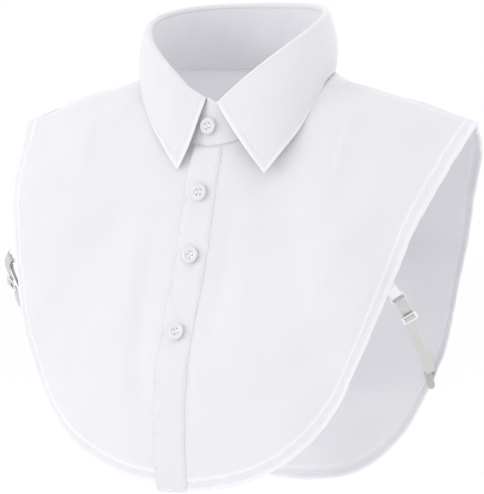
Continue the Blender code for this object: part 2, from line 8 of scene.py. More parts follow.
import bmesh
import bpy
import numpy as np
from mathutils import Matrix, Vector

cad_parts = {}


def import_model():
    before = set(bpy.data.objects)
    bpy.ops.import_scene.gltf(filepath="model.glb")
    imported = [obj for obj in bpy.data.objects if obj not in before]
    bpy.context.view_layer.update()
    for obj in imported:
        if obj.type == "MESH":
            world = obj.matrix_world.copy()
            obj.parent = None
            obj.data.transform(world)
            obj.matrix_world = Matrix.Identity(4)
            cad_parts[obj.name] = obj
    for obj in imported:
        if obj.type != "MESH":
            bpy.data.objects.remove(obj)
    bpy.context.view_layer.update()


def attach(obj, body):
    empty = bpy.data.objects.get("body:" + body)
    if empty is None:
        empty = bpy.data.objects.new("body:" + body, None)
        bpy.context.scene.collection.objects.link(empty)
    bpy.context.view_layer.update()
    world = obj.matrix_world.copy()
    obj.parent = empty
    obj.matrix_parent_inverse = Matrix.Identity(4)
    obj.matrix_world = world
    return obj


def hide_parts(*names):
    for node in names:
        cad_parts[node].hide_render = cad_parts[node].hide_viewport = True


# button
BUTTON_RADIUS = 0.00575
BUTTON_THICKNESS = 0.0028
BUTTON_DISH = 0.0008
BUTTON_HOLE_RADIUS = 0.00075
BUTTON_HOLE_SPREAD = 0.0013
BUTTON_TURNS = (0.3, 0.15, 0.85, 0.4)       # how each button is turned on its thread

# cloth
WALL = 0.0010                # thickness of every cloth wall
SEAM_GAP = 0.0003            # clearance between two sewn pieces
LAYER = WALL + SEAM_GAP      # step from one layer of cloth to the next

# neck seam, where the stand meets the fronts and the back
NECK_HALF_WIDTH = 0.0650
NECK_MIDDLE = -0.0085        # y of the widest place
NECK_FRONT = 0.0485          # from the widest place forwards
NECK_BACK = 0.060            # from the widest place backwards
NECK_BACK_HEIGHT = 0.008
NECK_DROP = 0.053            # from centre back down to centre front
NECK_DROP_POWER = 2.56
COLLAR_TURN = math.radians(4.5)      # the collar sits turned towards the wearer's left
SHOULDER_ANGLE = math.radians(96)   # where a shoulder seam meets the neck, from centre front

# fold line, where the fall turns over the stand
FOLD_HALF_WIDTH = 0.0620
FOLD_FRONT = 0.0450
FOLD_BACK = 0.0531
FOLD_BACK_HEIGHT = 0.0530
FOLD_DROP = 0.0740
FOLD_DROP_POWER = 2.7
FOLD_ROLL = 0.0016           # inner radius of the roll
STAND_BELOW_FOLD = 0.0040    # the stand's top edge ends this far below the roll
STAND_LAP = math.radians(12)        # each end passes centre front by this much
STAND_FADE = math.radians(24)       # the outer end comes back to the ring over this much
STAND_COLUMNS = 64
STAND_CORNER = 0.0080        # the outer end's top corner rounds off by this much
STAND_FRONT_TOP = -0.0172    # between the leaf's two ends the top edge comes no lower
FRONT_RISE = 0.0046          # below the right wing's front corner the top stands this much higher
# where that rise starts, at the point of the V, where it's whole, at the corner, and where it ends
FRONT_RISE_ANGLES = (math.radians(5.2), math.radians(-2.6), math.radians(-16))
STAND_TUCK = 0.0012          # the stand's lower edge laps the panels by this much

# fall
FALL_START = math.radians(6)        # the leaf starts this far from centre front
FALL_END = math.radians(2.6)        # and it ends this far from centre front
FALL_BULGE = 0.0030          # how far the leaf rounds out between its fold and its edge
FALL_BOW = 0.0026            # how far the right point's front edge bows forwards

# shoulders
SHOULDER_TIP = (0.178, 0.004, -0.033)
SHOULDER_RISE = 0.0015       # how far the seam bows up between the neck and the tip
LEFT_TIP_RISE = 0.0032       # the left tip sits this much higher than the right one
SHOULDER_ROUND = 0.006       # how far the cloth rounds out beside the seam

# fronts
FRONT_LAP = 0.0115           # each front passes the centre line by this much
FRONT_SPREAD_TOP = 0.109     # surface length of half a front along the neckline
FRONT_SPREAD_HEM = 0.345     # and along its outer edge
HEM_STEP = 0.0025            # the left hem hangs this much lower, the right this much higher
PLACKET_WIDTH = 0.0225
BUTTON_HEIGHTS = (-0.0777, -0.1203, -0.1715)
STAND_BUTTON_SHARE = 0.42    # height on the stand
BUTTON_STAND_OFF = 0.0004    # the curved stand falls away under the flat button

# side straps
ELASTIC_WIDTH = 0.0065
TAB_WIDTH = 0.0076
TAB_LENGTH = 0.0080          # from the front's edge to the first bar of the ring
SEWN_LENGTH = 0.0080         # of a strap end that lies inside the cloth's edge
WIRE_RADIUS = 0.0007
BAR_CLEAR = WIRE_RADIUS + SEAM_GAP   # from a bar's middle to the band that turns round it
RING_WIDTH = 0.0096          # wire middle to wire middle
RING_LENGTH = 0.0070
SLIDER_PLACE = 0.036         # middle of the slider, along the strap
SLIDER_LENGTH = 0.0100
SLIDER_WIDTH = 0.0110
SLIDER_THICKNESS = 0.0012
SLIDER_CORNER = 0.0015
SLIDER_SOFT = 0.00022        # radius of its softened edges
RING_CORNER = 0.0014
CORNER_POINTS = 8
SLOT_LENGTH = 0.0024
SLOT_WIDTH = 0.0078
SLOT_CORNER = 0.0006
SLOT_SPREAD = 0.0021         # from the middle bar's middle to a slot's middle

# route of each strap from the front's edge to the back's edge: x, y, z
STRAP_LEFT = [
    (0.1437, -0.0590, -0.1390),
    (0.1442, -0.0500, -0.1450),
    (0.1439, -0.0400, -0.1517),
    (0.1413, -0.0250, -0.1606),
    (0.1362, -0.0100, -0.1680),
    (0.1298, 0.0100, -0.1777),
    (0.1251, 0.0300, -0.1881),
    (0.1206, 0.0480, -0.1975),
    (0.1165, 0.0625, -0.2050),
    (0.1133, 0.0722, -0.2135),
]
STRAP_RIGHT = [
    (-0.1505, -0.0520, -0.1180),
    (-0.1552, -0.0520, -0.1235),
    (-0.1619, -0.0485, -0.1293),
    (-0.1641, -0.0450, -0.1352),
    (-0.1640, -0.0410, -0.1415),
    (-0.1632, -0.0360, -0.1505),
    (-0.1637, -0.0300, -0.1625),
    (-0.1590, -0.0180, -0.1740),
    (-0.1480, 0.0080, -0.1870),
    (-0.1340, 0.0380, -0.1975),
    (-0.1200, 0.0600, -0.2050),
    (-0.1133, 0.0722, -0.2135),
]
STRAP_WIDTH = (0.75, 0.42, 0.50)     # the left band's width direction between its ends
STRAP_WIDTH_SHARES = (0.0, 0.25, 0.85, 1.0)
STRAP_CLEAR = 0.0021         # from a panel's inner face to the middle layer of a strap's end
PAST_EDGE = 0.0050           # a strap's end passes the back's edge by this much

# centre front, from the neck seam to the hem: x, y, z of the innermost layer
CENTRE_FRONT = [
    (0.0051, -0.0568, -0.045),
    (0.0038, -0.0640, -0.073),
    (0.0022, -0.0700, -0.105),
    (0.0010, -0.0775, -0.135),
    (-0.0004, -0.0900, -0.172),
    (-0.0012, -0.0980, -0.205),
    (-0.0018, -0.0990, -0.240),
    (-0.0020, -0.0950, -0.2765),
]

# outer edge of a front, from the centre of the hem to the shoulder tip: half width, y, z
FRONT_EDGE = [
    (0.000, -0.0950, -0.2765),
    (0.047, -0.0930, -0.270),
    (0.085, -0.0860, -0.251),
    (0.113, -0.0795, -0.219),
    (0.131, -0.0730, -0.180),
    (0.147, -0.0570, -0.130),
    (0.160, -0.0425, -0.087),
    SHOULDER_TIP,
]

# centre back, from the neck seam to the hem: x, y, z
CENTRE_BACK = [
    (0.0, 0.0515, 0.008),
    (0.0, 0.0640, -0.040),
    (0.0, 0.0770, -0.100),
    (0.0, 0.0835, -0.170),
    (0.0, 0.0850, -0.230),
    (0.0, 0.0840, -0.291),
]

# outer edge of the back, from the centre of the hem to the shoulder tip: half width, y, z
BACK_EDGE = [
    (0.000, 0.0840, -0.291),
    (0.052, 0.0825, -0.282),
    (0.0885, 0.0785, -0.254),
    (0.1145, 0.0720, -0.212),
    (0.1305, 0.0625, -0.175),
    (0.146, 0.0530, -0.128),
    (0.160, 0.0400, -0.085),
    (0.173, 0.0220, -0.052),
    SHOULDER_TIP,
]

# lower edge of the fall, from the centre back to each point: x, y, z
FALL_EDGE_LEFT = [
    (0.0000, 0.0575, 0.0045),
    (0.0290, 0.0515, 0.0055),
    (0.0514, 0.0355, 0.0068),
    (0.0655, 0.0125, 0.0057),
    (0.0700, -0.0100, -0.0010),
    (0.0708, -0.0275, -0.0144),
    (0.0670, -0.0430, -0.0330),
    (0.0600, -0.0545, -0.0475),
    (0.0505, -0.0625, -0.0630),
]
FALL_EDGE_RIGHT = [
    (0.0000, 0.0575, 0.0045),
    (-0.0290, 0.0515, 0.0055),
    (-0.0514, 0.0355, 0.0068),
    (-0.0655, 0.0125, 0.0060),
    (-0.0690, -0.0100, 0.0006),
    (-0.0603, -0.0325, -0.0118),
    (-0.0440, -0.0490, -0.0310),
    (-0.0300, -0.0590, -0.0455),
    (-0.0155, -0.0645, -0.0615),
]

# soft folds of a panel: share across, width, height, and where they start and end going down
FRONT_FOLDS = [
    (-0.66, 0.10, 0.0020, 0.20, 1.30),
    (-0.43, 0.09, -0.0022, 0.20, 1.30),
    (-0.24, 0.08, 0.0016, 0.20, 1.30),
    (0.20, 0.07, 0.0014, 0.25, 1.30),
    (0.36, 0.08, -0.0022, 0.20, 1.30),
    (0.56, 0.10, 0.0022, 0.15, 1.20),
    (0.76, 0.09, -0.0018, 0.30, 1.30),
]
BACK_FOLDS = [
    (-0.62, 0.11, 0.0024, 0.15, 1.30),
    (-0.34, 0.10, -0.0028, 0.20, 1.30),
    (-0.05, 0.11, 0.0020, 0.25, 1.30),
    (0.24, 0.10, -0.0024, 0.20, 1.30),
    (0.50, 0.11, 0.0026, 0.15, 1.30),
    (0.78, 0.09, -0.0016, 0.30, 1.30),
]


def smooth(t):
    """Rises from 0 to 1 without a corner."""
    t = np.clip(t, 0.0, 1.0)
    return t * t * (3.0 - 2.0 * t)


def hump(place, middle, width):
    """A soft hump of height 1."""
    return np.exp(-((place - middle) / width) ** 2)


def marks_along(points):
    """Length of a path up to each of its points."""
    steps = np.linalg.norm(np.diff(points, axis=0), axis=1)
    return np.concatenate([[0.0], np.cumsum(steps)])


def curve_through(rows, share):
    """A smooth curve through the rows, read at shares of its length."""
    rows = np.asarray(rows, float)
    share = np.asarray(share, float)
    ahead = np.vstack([2 * rows[0] - rows[1], rows, 2 * rows[-1] - rows[-2]])
    steps = np.linalg.norm(np.diff(rows, axis=0), axis=1)
    marks = np.concatenate([[0.0], np.cumsum(steps)]) / steps.sum()
    at = np.clip(np.searchsorted(marks, share, side="right") - 1, 0, len(rows) - 2)
    t = ((share - marks[at]) / (marks[at + 1] - marks[at]))[..., None]
    before, start, end, after = (ahead[at + k] for k in range(4))
    return 0.5 * (2 * start + (end - before) * t
                  + (2 * before - 5 * start + 4 * end - after) * t ** 2
                  + (3 * start - before - 3 * end + after) * t ** 3)


def ring(angle, half_width, front, back):
    """Plan of a ring about the neck, by the angle from the collar's own centre front."""
    turned = angle + COLLAR_TURN * (1.0 + np.cos(angle)) / 2.0
    depth = np.where(np.cos(turned) > 0.0, front, back)
    return half_width * np.sin(turned), NECK_MIDDLE - depth * np.cos(turned)


def neck_seam(angle):
    """Seam of the stand with the fronts and the back."""
    angle = np.asarray(angle, float)
    x, y = ring(angle, NECK_HALF_WIDTH, NECK_FRONT, NECK_BACK)
    near = (1.0 + np.cos(angle)) / 2.0
    z = NECK_BACK_HEIGHT - NECK_DROP * near ** NECK_DROP_POWER
    return np.stack([x, y, z], -1)


def fold_line(angle):
    """Top of the collar, where the fall turns over."""
    angle = np.asarray(angle, float)
    x, y = ring(angle, FOLD_HALF_WIDTH, FOLD_FRONT, FOLD_BACK)
    near = 1.0 - np.arccos(np.clip(np.cos(angle), -1.0, 1.0)) / math.pi
    z = FOLD_BACK_HEIGHT - FOLD_DROP * near ** FOLD_DROP_POWER
    return np.stack([x, y, z], -1)


def front_crest(angle):
    """Fold line with its shape at the front, where it slopes down to the point of the neck's V."""
    crest = fold_line(angle)
    turned = (angle + math.pi) % (2 * math.pi) - math.pi
    point, corner, end = FRONT_RISE_ANGLES
    rise = np.clip((point - turned) / (point - corner), 0.0, 1.0)
    rise = rise * (1.0 - smooth((corner - turned) / (corner - end)))
    crest[..., 2] = np.maximum(crest[..., 2], STAND_FRONT_TOP) + FRONT_RISE * rise
    return crest


def ring_outwards(line, angle):
    """Level direction away from the neck at an angle of a ring."""
    step = 1e-3
    along = line(angle + step) - line(angle - step)
    outwards = np.stack([along[..., 1], -along[..., 0], np.zeros_like(angle)], -1)
    return outwards / np.linalg.norm(outwards, axis=-1, keepdims=True)


def coons(across, down, centre, shoulder, neck, edge):
    """A panel between its centre line, shoulder seams, neckline and outer edge."""
    blend = smooth(np.abs(across))[..., None]
    v = down[..., None]
    sides = (1 - blend) * centre(down) + blend * shoulder(down, across)
    ends = (1 - v) * neck(across) + v * edge(across)
    middle = np.zeros_like(across)
    tip = np.where(across < 0.0, -1.0, 1.0)
    corners = (1 - v) * ((1 - blend) * neck(middle) + blend * neck(tip)) \
        + v * ((1 - blend) * edge(middle) + blend * edge(tip))
    return sides + ends - corners


def panel_folds(across, down, folds):
    """How far the soft folds lift the cloth."""
    lift = np.zeros_like(across)
    for place, width, height, start, end in folds:
        along = smooth((down - start) / 0.3) * smooth((end - down) / 0.3)
        lift = lift + height * hump(across, place, width) * along
    return lift


def round_shoulder(across, down):
    """How far the cloth rounds out beside the shoulder seams."""
    reach = np.clip(np.abs(across), 0.0, 1.0)
    middle = np.sin(math.pi * np.clip(down, 0.0, 1.0)) ** 0.7
    return SHOULDER_ROUND * np.sin(math.pi * reach ** 2) * middle


def both_sides(rows):
    """A half outline, given from its middle, with its mirror image before it."""
    rows = np.array(rows)
    mirrored = rows[:0:-1] * np.array([-1.0, 1.0, 1.0])
    return np.vstack([mirrored, rows])


def panel(turn, centre_rows, edge_rows, middle_angle, folds):
    """Surface of a whole front or back: across is -1 at the right shoulder, +1 at the left."""
    outline = both_sides(edge_rows)
    outline[len(edge_rows) - 1] = centre_rows[-1]
    outline[-1, 2] += LEFT_TIP_RISE
    centre_line = np.array(centre_rows)
    centre_line[0] = neck_seam(middle_angle)

    def centre(share):
        return curve_through(centre_line, share)

    def neck(share):
        return neck_seam(middle_angle + share * (SHOULDER_ANGLE - middle_angle))

    def edge(share):
        return curve_through(outline, (share + 1.0) / 2.0)

    def shoulder(share, across):
        side = np.where(across < 0.0, -1.0, 1.0)
        share = share[..., None]
        rise = np.array([0.0, 0.0, SHOULDER_RISE]) * 4 * share * (1 - share)
        return neck(side) * (1 - share) + edge(side) * share + rise

    def points_at(across, down):
        return coons(across, down, centre, shoulder, neck, edge)

    def place(across, down, lift=0.0):
        across, down = np.broadcast_arrays(np.asarray(across, float), np.asarray(down, float))
        step = 1e-3
        to_left = points_at(across + step, down) - points_at(across - step, down)
        below = points_at(across, down + step) - points_at(across, down - step)
        normal = np.cross(below, to_left) * turn
        normal /= np.linalg.norm(normal, axis=-1, keepdims=True)
        lift = lift + round_shoulder(across, down) + panel_folds(across, down, folds)
        return points_at(across, down) + normal * lift[..., None]
    return place


whole_front = panel(1, CENTRE_FRONT, FRONT_EDGE, 0.0, FRONT_FOLDS)
whole_back = panel(-1, CENTRE_BACK, BACK_EDGE, math.pi, BACK_FOLDS)


# cloth as it is sewn
CLOTH = 0.00045              # one layer of shirt cotton
HEM_WIDTH = 0.0074           # double hem round the fronts and the back
HEM_THICK = 0.00050          # by how much the hem is thicker than the panel, inside
EDGE_WANDER = 0.0004         # the hem's edge and rows wander by this much
HEM_STITCH = 0.0064          # its stitch row, from the edge
HEM_GROOVE = 0.00034         # depth of the groove that the row sinks into
HEM_ROLL = 0.0014            # middle of its rolled outer edge, from the edge
HEM_RIDGE = 0.0084           # the ridge that the turned edge presses through, from the edge
HEM_WAVE = 0.00060           # waviness of the outer edge
HEM_PUCKER = 0.00022         # puckers along the stitch row
EDGE_ROUND = 0.8             # how round a cut edge of cloth is, 1 for a half circle
FRONT_LENGTH = 0.235         # neckline to hem along the centre front
BACK_LENGTH = 0.300
BACK_SPREAD_TOP = 0.186
BACK_SPREAD_HEM = 0.712
FALL_THICK = 0.0011
STAND_WORN = 0.0011          # soft creases of the stand behind the neck
STAND_WORN_FROM = 1.1        # and the angle from centre front where they start
STAND_STITCH = 0.055         # its stitch row, as a share of the height
STITCH_PITCH = 0.0024
STITCH_LENGTH = 0.0019
THREAD_WIDTH = 0.00034

PLACKET_STITCH = 0.0018      # each stitched edge of the placket, from the edge
PLACKET_RISE = 0.0004        # its outer face over the front's second layer
FALL_STITCH = 0.0040         # topstitching of the fall, from the edge
SHOULDER_STITCH = 0.0032     # topstitching of the fronts beside the shoulder seam
WEAVE_PITCH = 0.00036        # from one thread of the cotton to the next
RIB_PITCHES = (0.00108, 0.00080)     # across the elastic and along it

# soft unevenness of handled cloth: wave length, direction, height
HANDLING = [(0.057, 0.4, 0.00060), (0.043, 2.2, 0.00038), (0.081, 1.2, 0.00085),
            (0.034, 2.8, 0.00016)]
CREASE_DEPTH = 1.6           # how deep the creases of the tables below are made

# view and light
CAMERA_TARGET = (0.0, 0.0, -0.118)
CAMERA_AZIMUTH = 28.0
CAMERA_ELEVATION = 3.5
CAMERA_DISTANCE = 2.4
CAMERA_LENS = 166.6
FLOOR_SIZE = 14.0
FLOOR_HEIGHT = -0.62
FLOOR_COLOUR = (0.985, 0.985, 0.985)
WORLD_LIGHT = 1.0
# lamps: name, place to the camera's right, towards it and up, size, power
LAMPS = [
    ("key", (-2.4, 0.9, 0.8), 0.8, 12.5),
    ("fill", (1.6, 1.8, 0.1), 1.2, 1.5),
    ("back", (0.7, -2.0, 1.0), 1.2, 10.5),
    ("top", (0.3, 0.6, 2.3), 1.2, 5.0),
]

# creases of a front: start and end (across from the centre line, down from the neckline),
# width and height, all in millimetres; a minus sign is a trough
CREASES_FRONT = [
    (-31, 72, -17, 196, 8.0, -1.1),
    (-46, 60, -33, 150, 10.0, 0.6),
    (29, 36, 33, 160, 9.0, -0.9),
    (43, 44, 47, 150, 9.0, 0.5),
    (15, 128, 24, 150, 3.2, 0.5),
    (12, 152, 17, 172, 2.6, -0.5),
    (13, 176, 20, 192, 3.0, -0.4),
    (150, 70, 122, 96, 8.0, -0.3),
    (158, 84, 132, 116, 9.0, 0.3),
    (-150, 62, -118, 88, 8.0, -0.3),
    (-160, 80, -128, 112, 9.0, 0.3),
    (70, 14, 118, 40, 12.0, 0.25),
    (-66, 12, -112, 36, 12.0, 0.25),
    (62, 120, 84, 205, 9.0, -0.7),
    (-70, 130, -92, 200, 9.0, -0.6),
    (104, 130, 140, 176, 8.0, 0.6),
]
CREASES_BACK = [
    (-20, 30, -46, 190, 12.0, 1.0),
    (22, 26, 60, 180, 12.0, -1.0),
    (90, 60, 150, 190, 11.0, 0.9),
    (-90, 60, -140, 200, 11.0, -0.9),
    (0, 120, 8, 270, 13.0, -1.0),
    (170, 120, 215, 190, 8.0, -0.8),
    (-175, 110, -215, 190, 8.0, 0.8),
    (120, 150, 170, 250, 9.0, -0.8),
    (-60, 190, -90, 270, 9.0, 0.7),
    (150, 30, 180, 90, 8.0, 0.6),
]


def crease_lift(along_x, along_y, rows):
    """How far the creases lift the cloth at a place of its flat chart, in metres."""
    lift = np.zeros_like(along_x)
    for x0, y0, x1, y1, width, height in rows:
        a = np.array([x0, y0]) / 1000.0
        b = np.array([x1, y1]) / 1000.0
        run = b - a
        size = float(run @ run)
        t = ((along_x - a[0]) * run[0] + (along_y - a[1]) * run[1]) / size
        bend = 0.06 * math.sqrt(size) * np.sin(math.pi * np.clip(t, 0.0, 1.0))
        gap = ((along_x - a[0]) * run[1] - (along_y - a[1]) * run[0]) / math.sqrt(size) + bend
        fade = smooth((t + 0.05) / 0.45) * smooth((1.05 - t) / 0.45)
        lift += CREASE_DEPTH * height / 1000.0 * hump(gap, 0.0, width / 1000.0) * fade
    return lift


def ripple(length, seed):
    """An uneven waviness along a sewn edge, from -1 to 1."""
    waves = [(0.0093, 0.5), (0.0147, 0.7), (0.0231, 0.6), (0.0410, 0.5)]
    total = sum(size * np.sin(2 * math.pi * length / wave + seed * (k + 1) * 1.7)
                for k, (wave, size) in enumerate(waves))
    return total / 2.3


def handled(x, y, seed):
    """Soft unevenness of cloth that has been handled, in metres."""
    lift = np.zeros_like(x)
    for k, (wave, turn, size) in enumerate(HANDLING):
        along = x * math.cos(turn) + y * math.sin(turn)
        side = y * math.cos(turn) - x * math.sin(turn)
        bend = 0.010 * np.sin(2 * math.pi * side / (wave * 2.3) + seed * 1.3 + k)
        lift += size * np.sin(2 * math.pi * (along + bend) / wave + seed * 2.1 * (k + 1))
    return lift


def hem_lines(count):
    """Distances from the outer edge at which the hem's rows of points lie, then shares inside."""
    near = [0.0, 0.0003, 0.0008, 0.0014, 0.0021, 0.0029, 0.0037, 0.0044, 0.0051, 0.0058,
            0.0064, 0.0070, 0.0076, 0.0082, 0.0089, 0.0097, 0.0110]
    return np.array(near), np.linspace(1.0, 0.0, count)[1:]


def shell_mesh(name, outer, inner, chart, layers=1.0):
    """A closed cloth wall between two grids of points, with rounded edges."""
    rows, columns = outer.shape[:2]
    border = [(0, c) for c in range(columns)] + [(r, columns - 1) for r in range(1, rows)]
    border += [(rows - 1, c) for c in range(columns - 2, -1, -1)]
    border += [(r, 0) for r in range(rows - 2, 0, -1)]
    at = tuple(np.array(border).T)
    within = (np.clip(at[0], 1, rows - 2), np.clip(at[1], 1, columns - 2))
    middle = (outer + inner) / 2
    away = middle[at] - middle[within]
    away /= np.linalg.norm(away, axis=1, keepdims=True)
    thick = np.linalg.norm(outer[at] - inner[at], axis=1, keepdims=True)
    rim = middle[at] + away * thick / 2 * EDGE_ROUND
    points = np.vstack([outer.reshape(-1, 3), inner.reshape(-1, 3), rim])
    size = rows * columns
    k = np.arange(size).reshape(rows, columns)[:-1, :-1].reshape(-1)
    outside = [k, k + 1, k + columns + 1, k + columns]
    inside = [size + k, size + k + columns, size + k + columns + 1, size + k + 1]
    o1, m1 = at[0] * columns + at[1], 2 * size + np.arange(len(border))
    o2, m2 = np.roll(o1, -1), np.roll(m1, -1)
    index = np.vstack([np.array(pair).transpose(2, 0, 1).reshape(-1, 4) for pair in (
        (outside, inside), ([o2, o1, m1, m2], [m2, m1, size + o1, size + o2]))])
    v = points[index]
    volume = np.einsum("ij,ij->", v[:, 0], np.cross(v[:, 1], v[:, 2])) \
        + np.einsum("ij,ij->", v[:, 0], np.cross(v[:, 2], v[:, 3]))
    if volume < 0:
        index = index[:, ::-1]
    mesh = bpy.data.meshes.new(name)
    mesh.from_pydata(points.tolist(), [], index.tolist())
    flat = np.vstack([chart.reshape(-1, 2), chart.reshape(-1, 2), chart[at]])
    layer = mesh.uv_layers.new(name="chart")
    layer.data.foreach_set("uv", flat[index.reshape(-1)].reshape(-1))
    # The layers attribute whitens the cloth's colour: it holds the real layers of cloth and, from the
    # panels and the fall, painted highlights along their edges.
    thick = np.ones(outer.shape[:2]) * layers
    thick = np.concatenate([thick.reshape(-1), thick.reshape(-1), thick[at]])
    mesh.attributes.new("layers", "FLOAT", "POINT").data.foreach_set("value", thick)
    mesh.shade_smooth()
    return mesh


def linked(name, data):
    """A new object in the scene."""
    made = bpy.data.objects.new(name, data)
    bpy.context.scene.collection.objects.link(made)
    return made


def add_piece(name, mesh, material):
    """A finished piece of the object that rides on its one body."""
    if not mesh.materials:
        mesh.materials.append(material)
    made = linked(name, mesh)
    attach(made, "root")
    return made


class Panel:
    """A hemmed panel: its surface, its flat chart, and the places of its rows of stitches."""

    def __init__(self, surface, chart, creases, seed, seams=1):
        self.surface, self.chart, self.creases, self.seed = surface, chart, creases, seed
        self.seams = seams

    def length(self, u):
        """Length of the cloth from the neckline to the outer edge at a share across."""
        v = np.linspace(0.0, 1.0, 25)[:, None] * np.ones_like(u)[None, :]
        points = self.surface(u[None, :] * np.ones_like(v), v, 0.0)
        return np.linalg.norm(np.diff(points, axis=0), axis=-1).sum(axis=0)

    def down(self, u, from_edge):
        """Share down of a distance from the outer edge."""
        return 1.0 - from_edge / self.length(np.atleast_1d(u))

    def edge_run(self, u):
        """Length along the outer edge up to each share across."""
        fine = np.linspace(0.0, 1.0, 400)
        return np.interp(u, fine, marks_along(self.surface(fine, np.ones_like(fine), 0.0)))

    def wander(self, u):
        """How far the hem's edge wanders at each share across."""
        return EDGE_WANDER * ripple(self.edge_run(u) * 0.7, self.seed + 5)

    def lifts(self, u, v, from_edge):
        """Creases and the hem's own waviness, which both faces of the cloth share."""
        x, y = self.chart(u, v)
        run = self.edge_run(u)
        wave = HEM_WAVE * ripple(run, self.seed) * hump(from_edge, 0.0, 0.012)
        near = hump(from_edge, HEM_STITCH, 0.0035)
        pucker = HEM_PUCKER * ripple(run * 2.6, self.seed + 3) * near
        away = smooth(y / 0.02) * smooth((np.abs(x) - 0.018) / 0.02)
        form = self.surface(u, v, 0.0)
        uneven = handled(form[..., 0], form[..., 2], self.seed) * away
        return crease_lift(x, y, self.creases) + wave + pucker + uneven

    def faces(self, columns, rows):
        """Outer and inner points of the cloth, its chart, and its whiteness: extra layers at the hem
        and beside the shoulder seam, and painted highlights along the hem's edge and its ridge.
        """
        u = self.columns(columns)
        length = self.length(u)
        near, inside = hem_lines(rows)
        shift = self.wander(u)
        v_hem = 1.0 - (near[:, None] + shift[None, :]) / length[None, :]
        v = np.vstack([v_hem, inside[:, None] * v_hem[-1][None, :]])
        u = np.ones_like(v) * u[None, :]
        from_edge = (1.0 - v) * length[None, :] - shift[None, :]
        lift = self.lifts(u, v, from_edge)
        groove = HEM_GROOVE * hump(from_edge, HEM_STITCH, 0.0007)
        rolled = 0.00048 * hump(from_edge, HEM_ROLL, 0.0012)
        ridge = hump(from_edge, HEM_RIDGE, 0.0011)
        hem = 1.0 - smooth((from_edge - HEM_WIDTH) / 0.0005)
        # Whiteness of the cloth: the double hem is whiter for its extra layers (0.35), and a painted
        # highlight runs along the hem's outer edge and along its pressed ridge.
        layers_and_painted_highlight = hump(from_edge, 0.0010, 0.0014) + 0.35 * hem + 0.9 * ridge
        seam, seam_groove = self.shoulder(u, v)
        relief_out = rolled + 0.00036 * ridge + 0.00006 * hem - groove + seam - seam_groove
        relief_in = rolled + HEM_THICK * hem - groove + seam
        outer = self.surface(u, v, WALL + lift + relief_out)
        inner = self.surface(u, v, WALL - CLOTH + lift - relief_in)
        x, y = self.chart(u, v)
        # the raised seam allowance beside a shoulder seam is whiter for its extra layer of cloth
        layers_and_painted_highlight = np.maximum(layers_and_painted_highlight, seam / 0.00060)
        return outer, inner, np.stack([x, y], -1), np.clip(layers_and_painted_highlight, 0.0, 1.0)

    def columns(self, count):
        """Shares across at which the columns lie, closer beside the shoulder seams."""
        near = np.array([0.0, 0.003, 0.006, 0.010, 0.014, 0.018, 0.022, 0.026, 0.030, 0.036])
        if self.seams == 2:
            return np.concatenate([near / 2, np.linspace(0.022, 0.978, count - 20),
                                   1.0 - near[::-1] / 2])
        return np.concatenate([np.linspace(0.0, 0.955, count - 10), 1.0 - near[::-1]])

    def shoulder(self, u, v):
        """Raised seam allowance beside a shoulder seam, and the groove of its stitch row."""
        if self.seams == 2:
            gap = np.minimum(u, 1.0 - u) * back_spread(v)
            return 0.00020 * (1.0 - smooth((gap - 0.0008) / 0.0012)), np.zeros_like(gap)
        gap = (1.0 - u) * (front_spread(v) + FRONT_LAP)
        raised = 0.00030 * (1.0 - smooth((gap - SHOULDER_STITCH - 0.0004) / 0.0012))
        return raised, 0.00040 * hump(gap, SHOULDER_STITCH, 0.0008)

    def row(self, u, from_edge, lift):
        """Points of a stitch row that follows the outer edge, on one face."""
        v = self.down(u, from_edge + self.wander(u))
        return self.surface(u, v, lift + self.lifts(u, v, np.full_like(u, from_edge)))

    def line(self, u, v, lift):
        """Points of a stitch row along any line of the panel."""
        from_edge = (1.0 - v) * self.length(u)
        return self.surface(u, v, lift + self.lifts(u, v, from_edge))


def front_spread(v):
    """Surface length of half a front at a share down."""
    return FRONT_SPREAD_TOP * (1 - v) + FRONT_SPREAD_HEM * v


def back_spread(v):
    """Surface length of the back at a share down."""
    return BACK_SPREAD_TOP * (1 - v) + BACK_SPREAD_HEM * v


def hem_reach(side, across):
    """How far down a front goes: the two hems end at their own heights."""
    reach = 1.0 + side * HEM_STEP / FRONT_LENGTH
    return 1.0 + (reach - 1.0) * smooth((0.75 - np.abs(across)) / 0.5)


def lap_lift(distance):
    """The left front lies over the right one, and comes back down beyond its edge."""
    return LAYER * smooth((FRONT_LAP + 0.028 - distance) / 0.024)


def front_form(side):
    """Surface and flat chart of the left (1) or the right (-1) front, u from its free edge."""
    def across_at(u, v):
        start = -side * FRONT_LAP / front_spread(v)
        return start + side * (1.0 - side * start) * u

    def surface(u, v, lift=0.0):
        across = across_at(u, v)
        if side > 0:
            lift = lift + lap_lift(across * front_spread(v))
        return whole_front(across, v * hem_reach(side, across), lift)

    def chart(u, v):
        return across_at(u, v) * front_spread(v), v * FRONT_LENGTH
    return surface, chart


def back_surface(u, v, lift=0.0):
    """The back, u from its right shoulder to its left one."""
    return whole_back(2 * u - 1, v, lift)


def back_chart(u, v):
    """Flat chart of the back."""
    return (u - 0.5) * back_spread(v), v * BACK_LENGTH


def placket_surface(u, v, lift=0.0):
    """Button strip over the left front's free edge, u from the free edge, v downwards."""
    distance = -FRONT_LAP + PLACKET_WIDTH * u
    across = distance / front_spread(v)
    run = v * FRONT_LENGTH
    crease = crease_lift(distance, run, CREASES_FRONT)
    edge = np.minimum(u, 1.0 - u) * PLACKET_WIDTH
    pucker = 0.00042 * ripple(run * 1.3 + 0.4 * u, 5) * hump(edge, 0.0, 0.0034)
    pucker = pucker - 0.0006 * hump(edge, 0.0, 0.0012)
    soft = 0.00050 * ripple(run * 0.8 - 0.8 * u * PLACKET_WIDTH, 9) * np.sin(math.pi * u)
    tucked = 0.0014 * (1.0 - smooth(run / 0.004))
    return whole_front(across, v * hem_reach(1, across),
                       LAYER + lift + crease + pucker + soft - tucked)


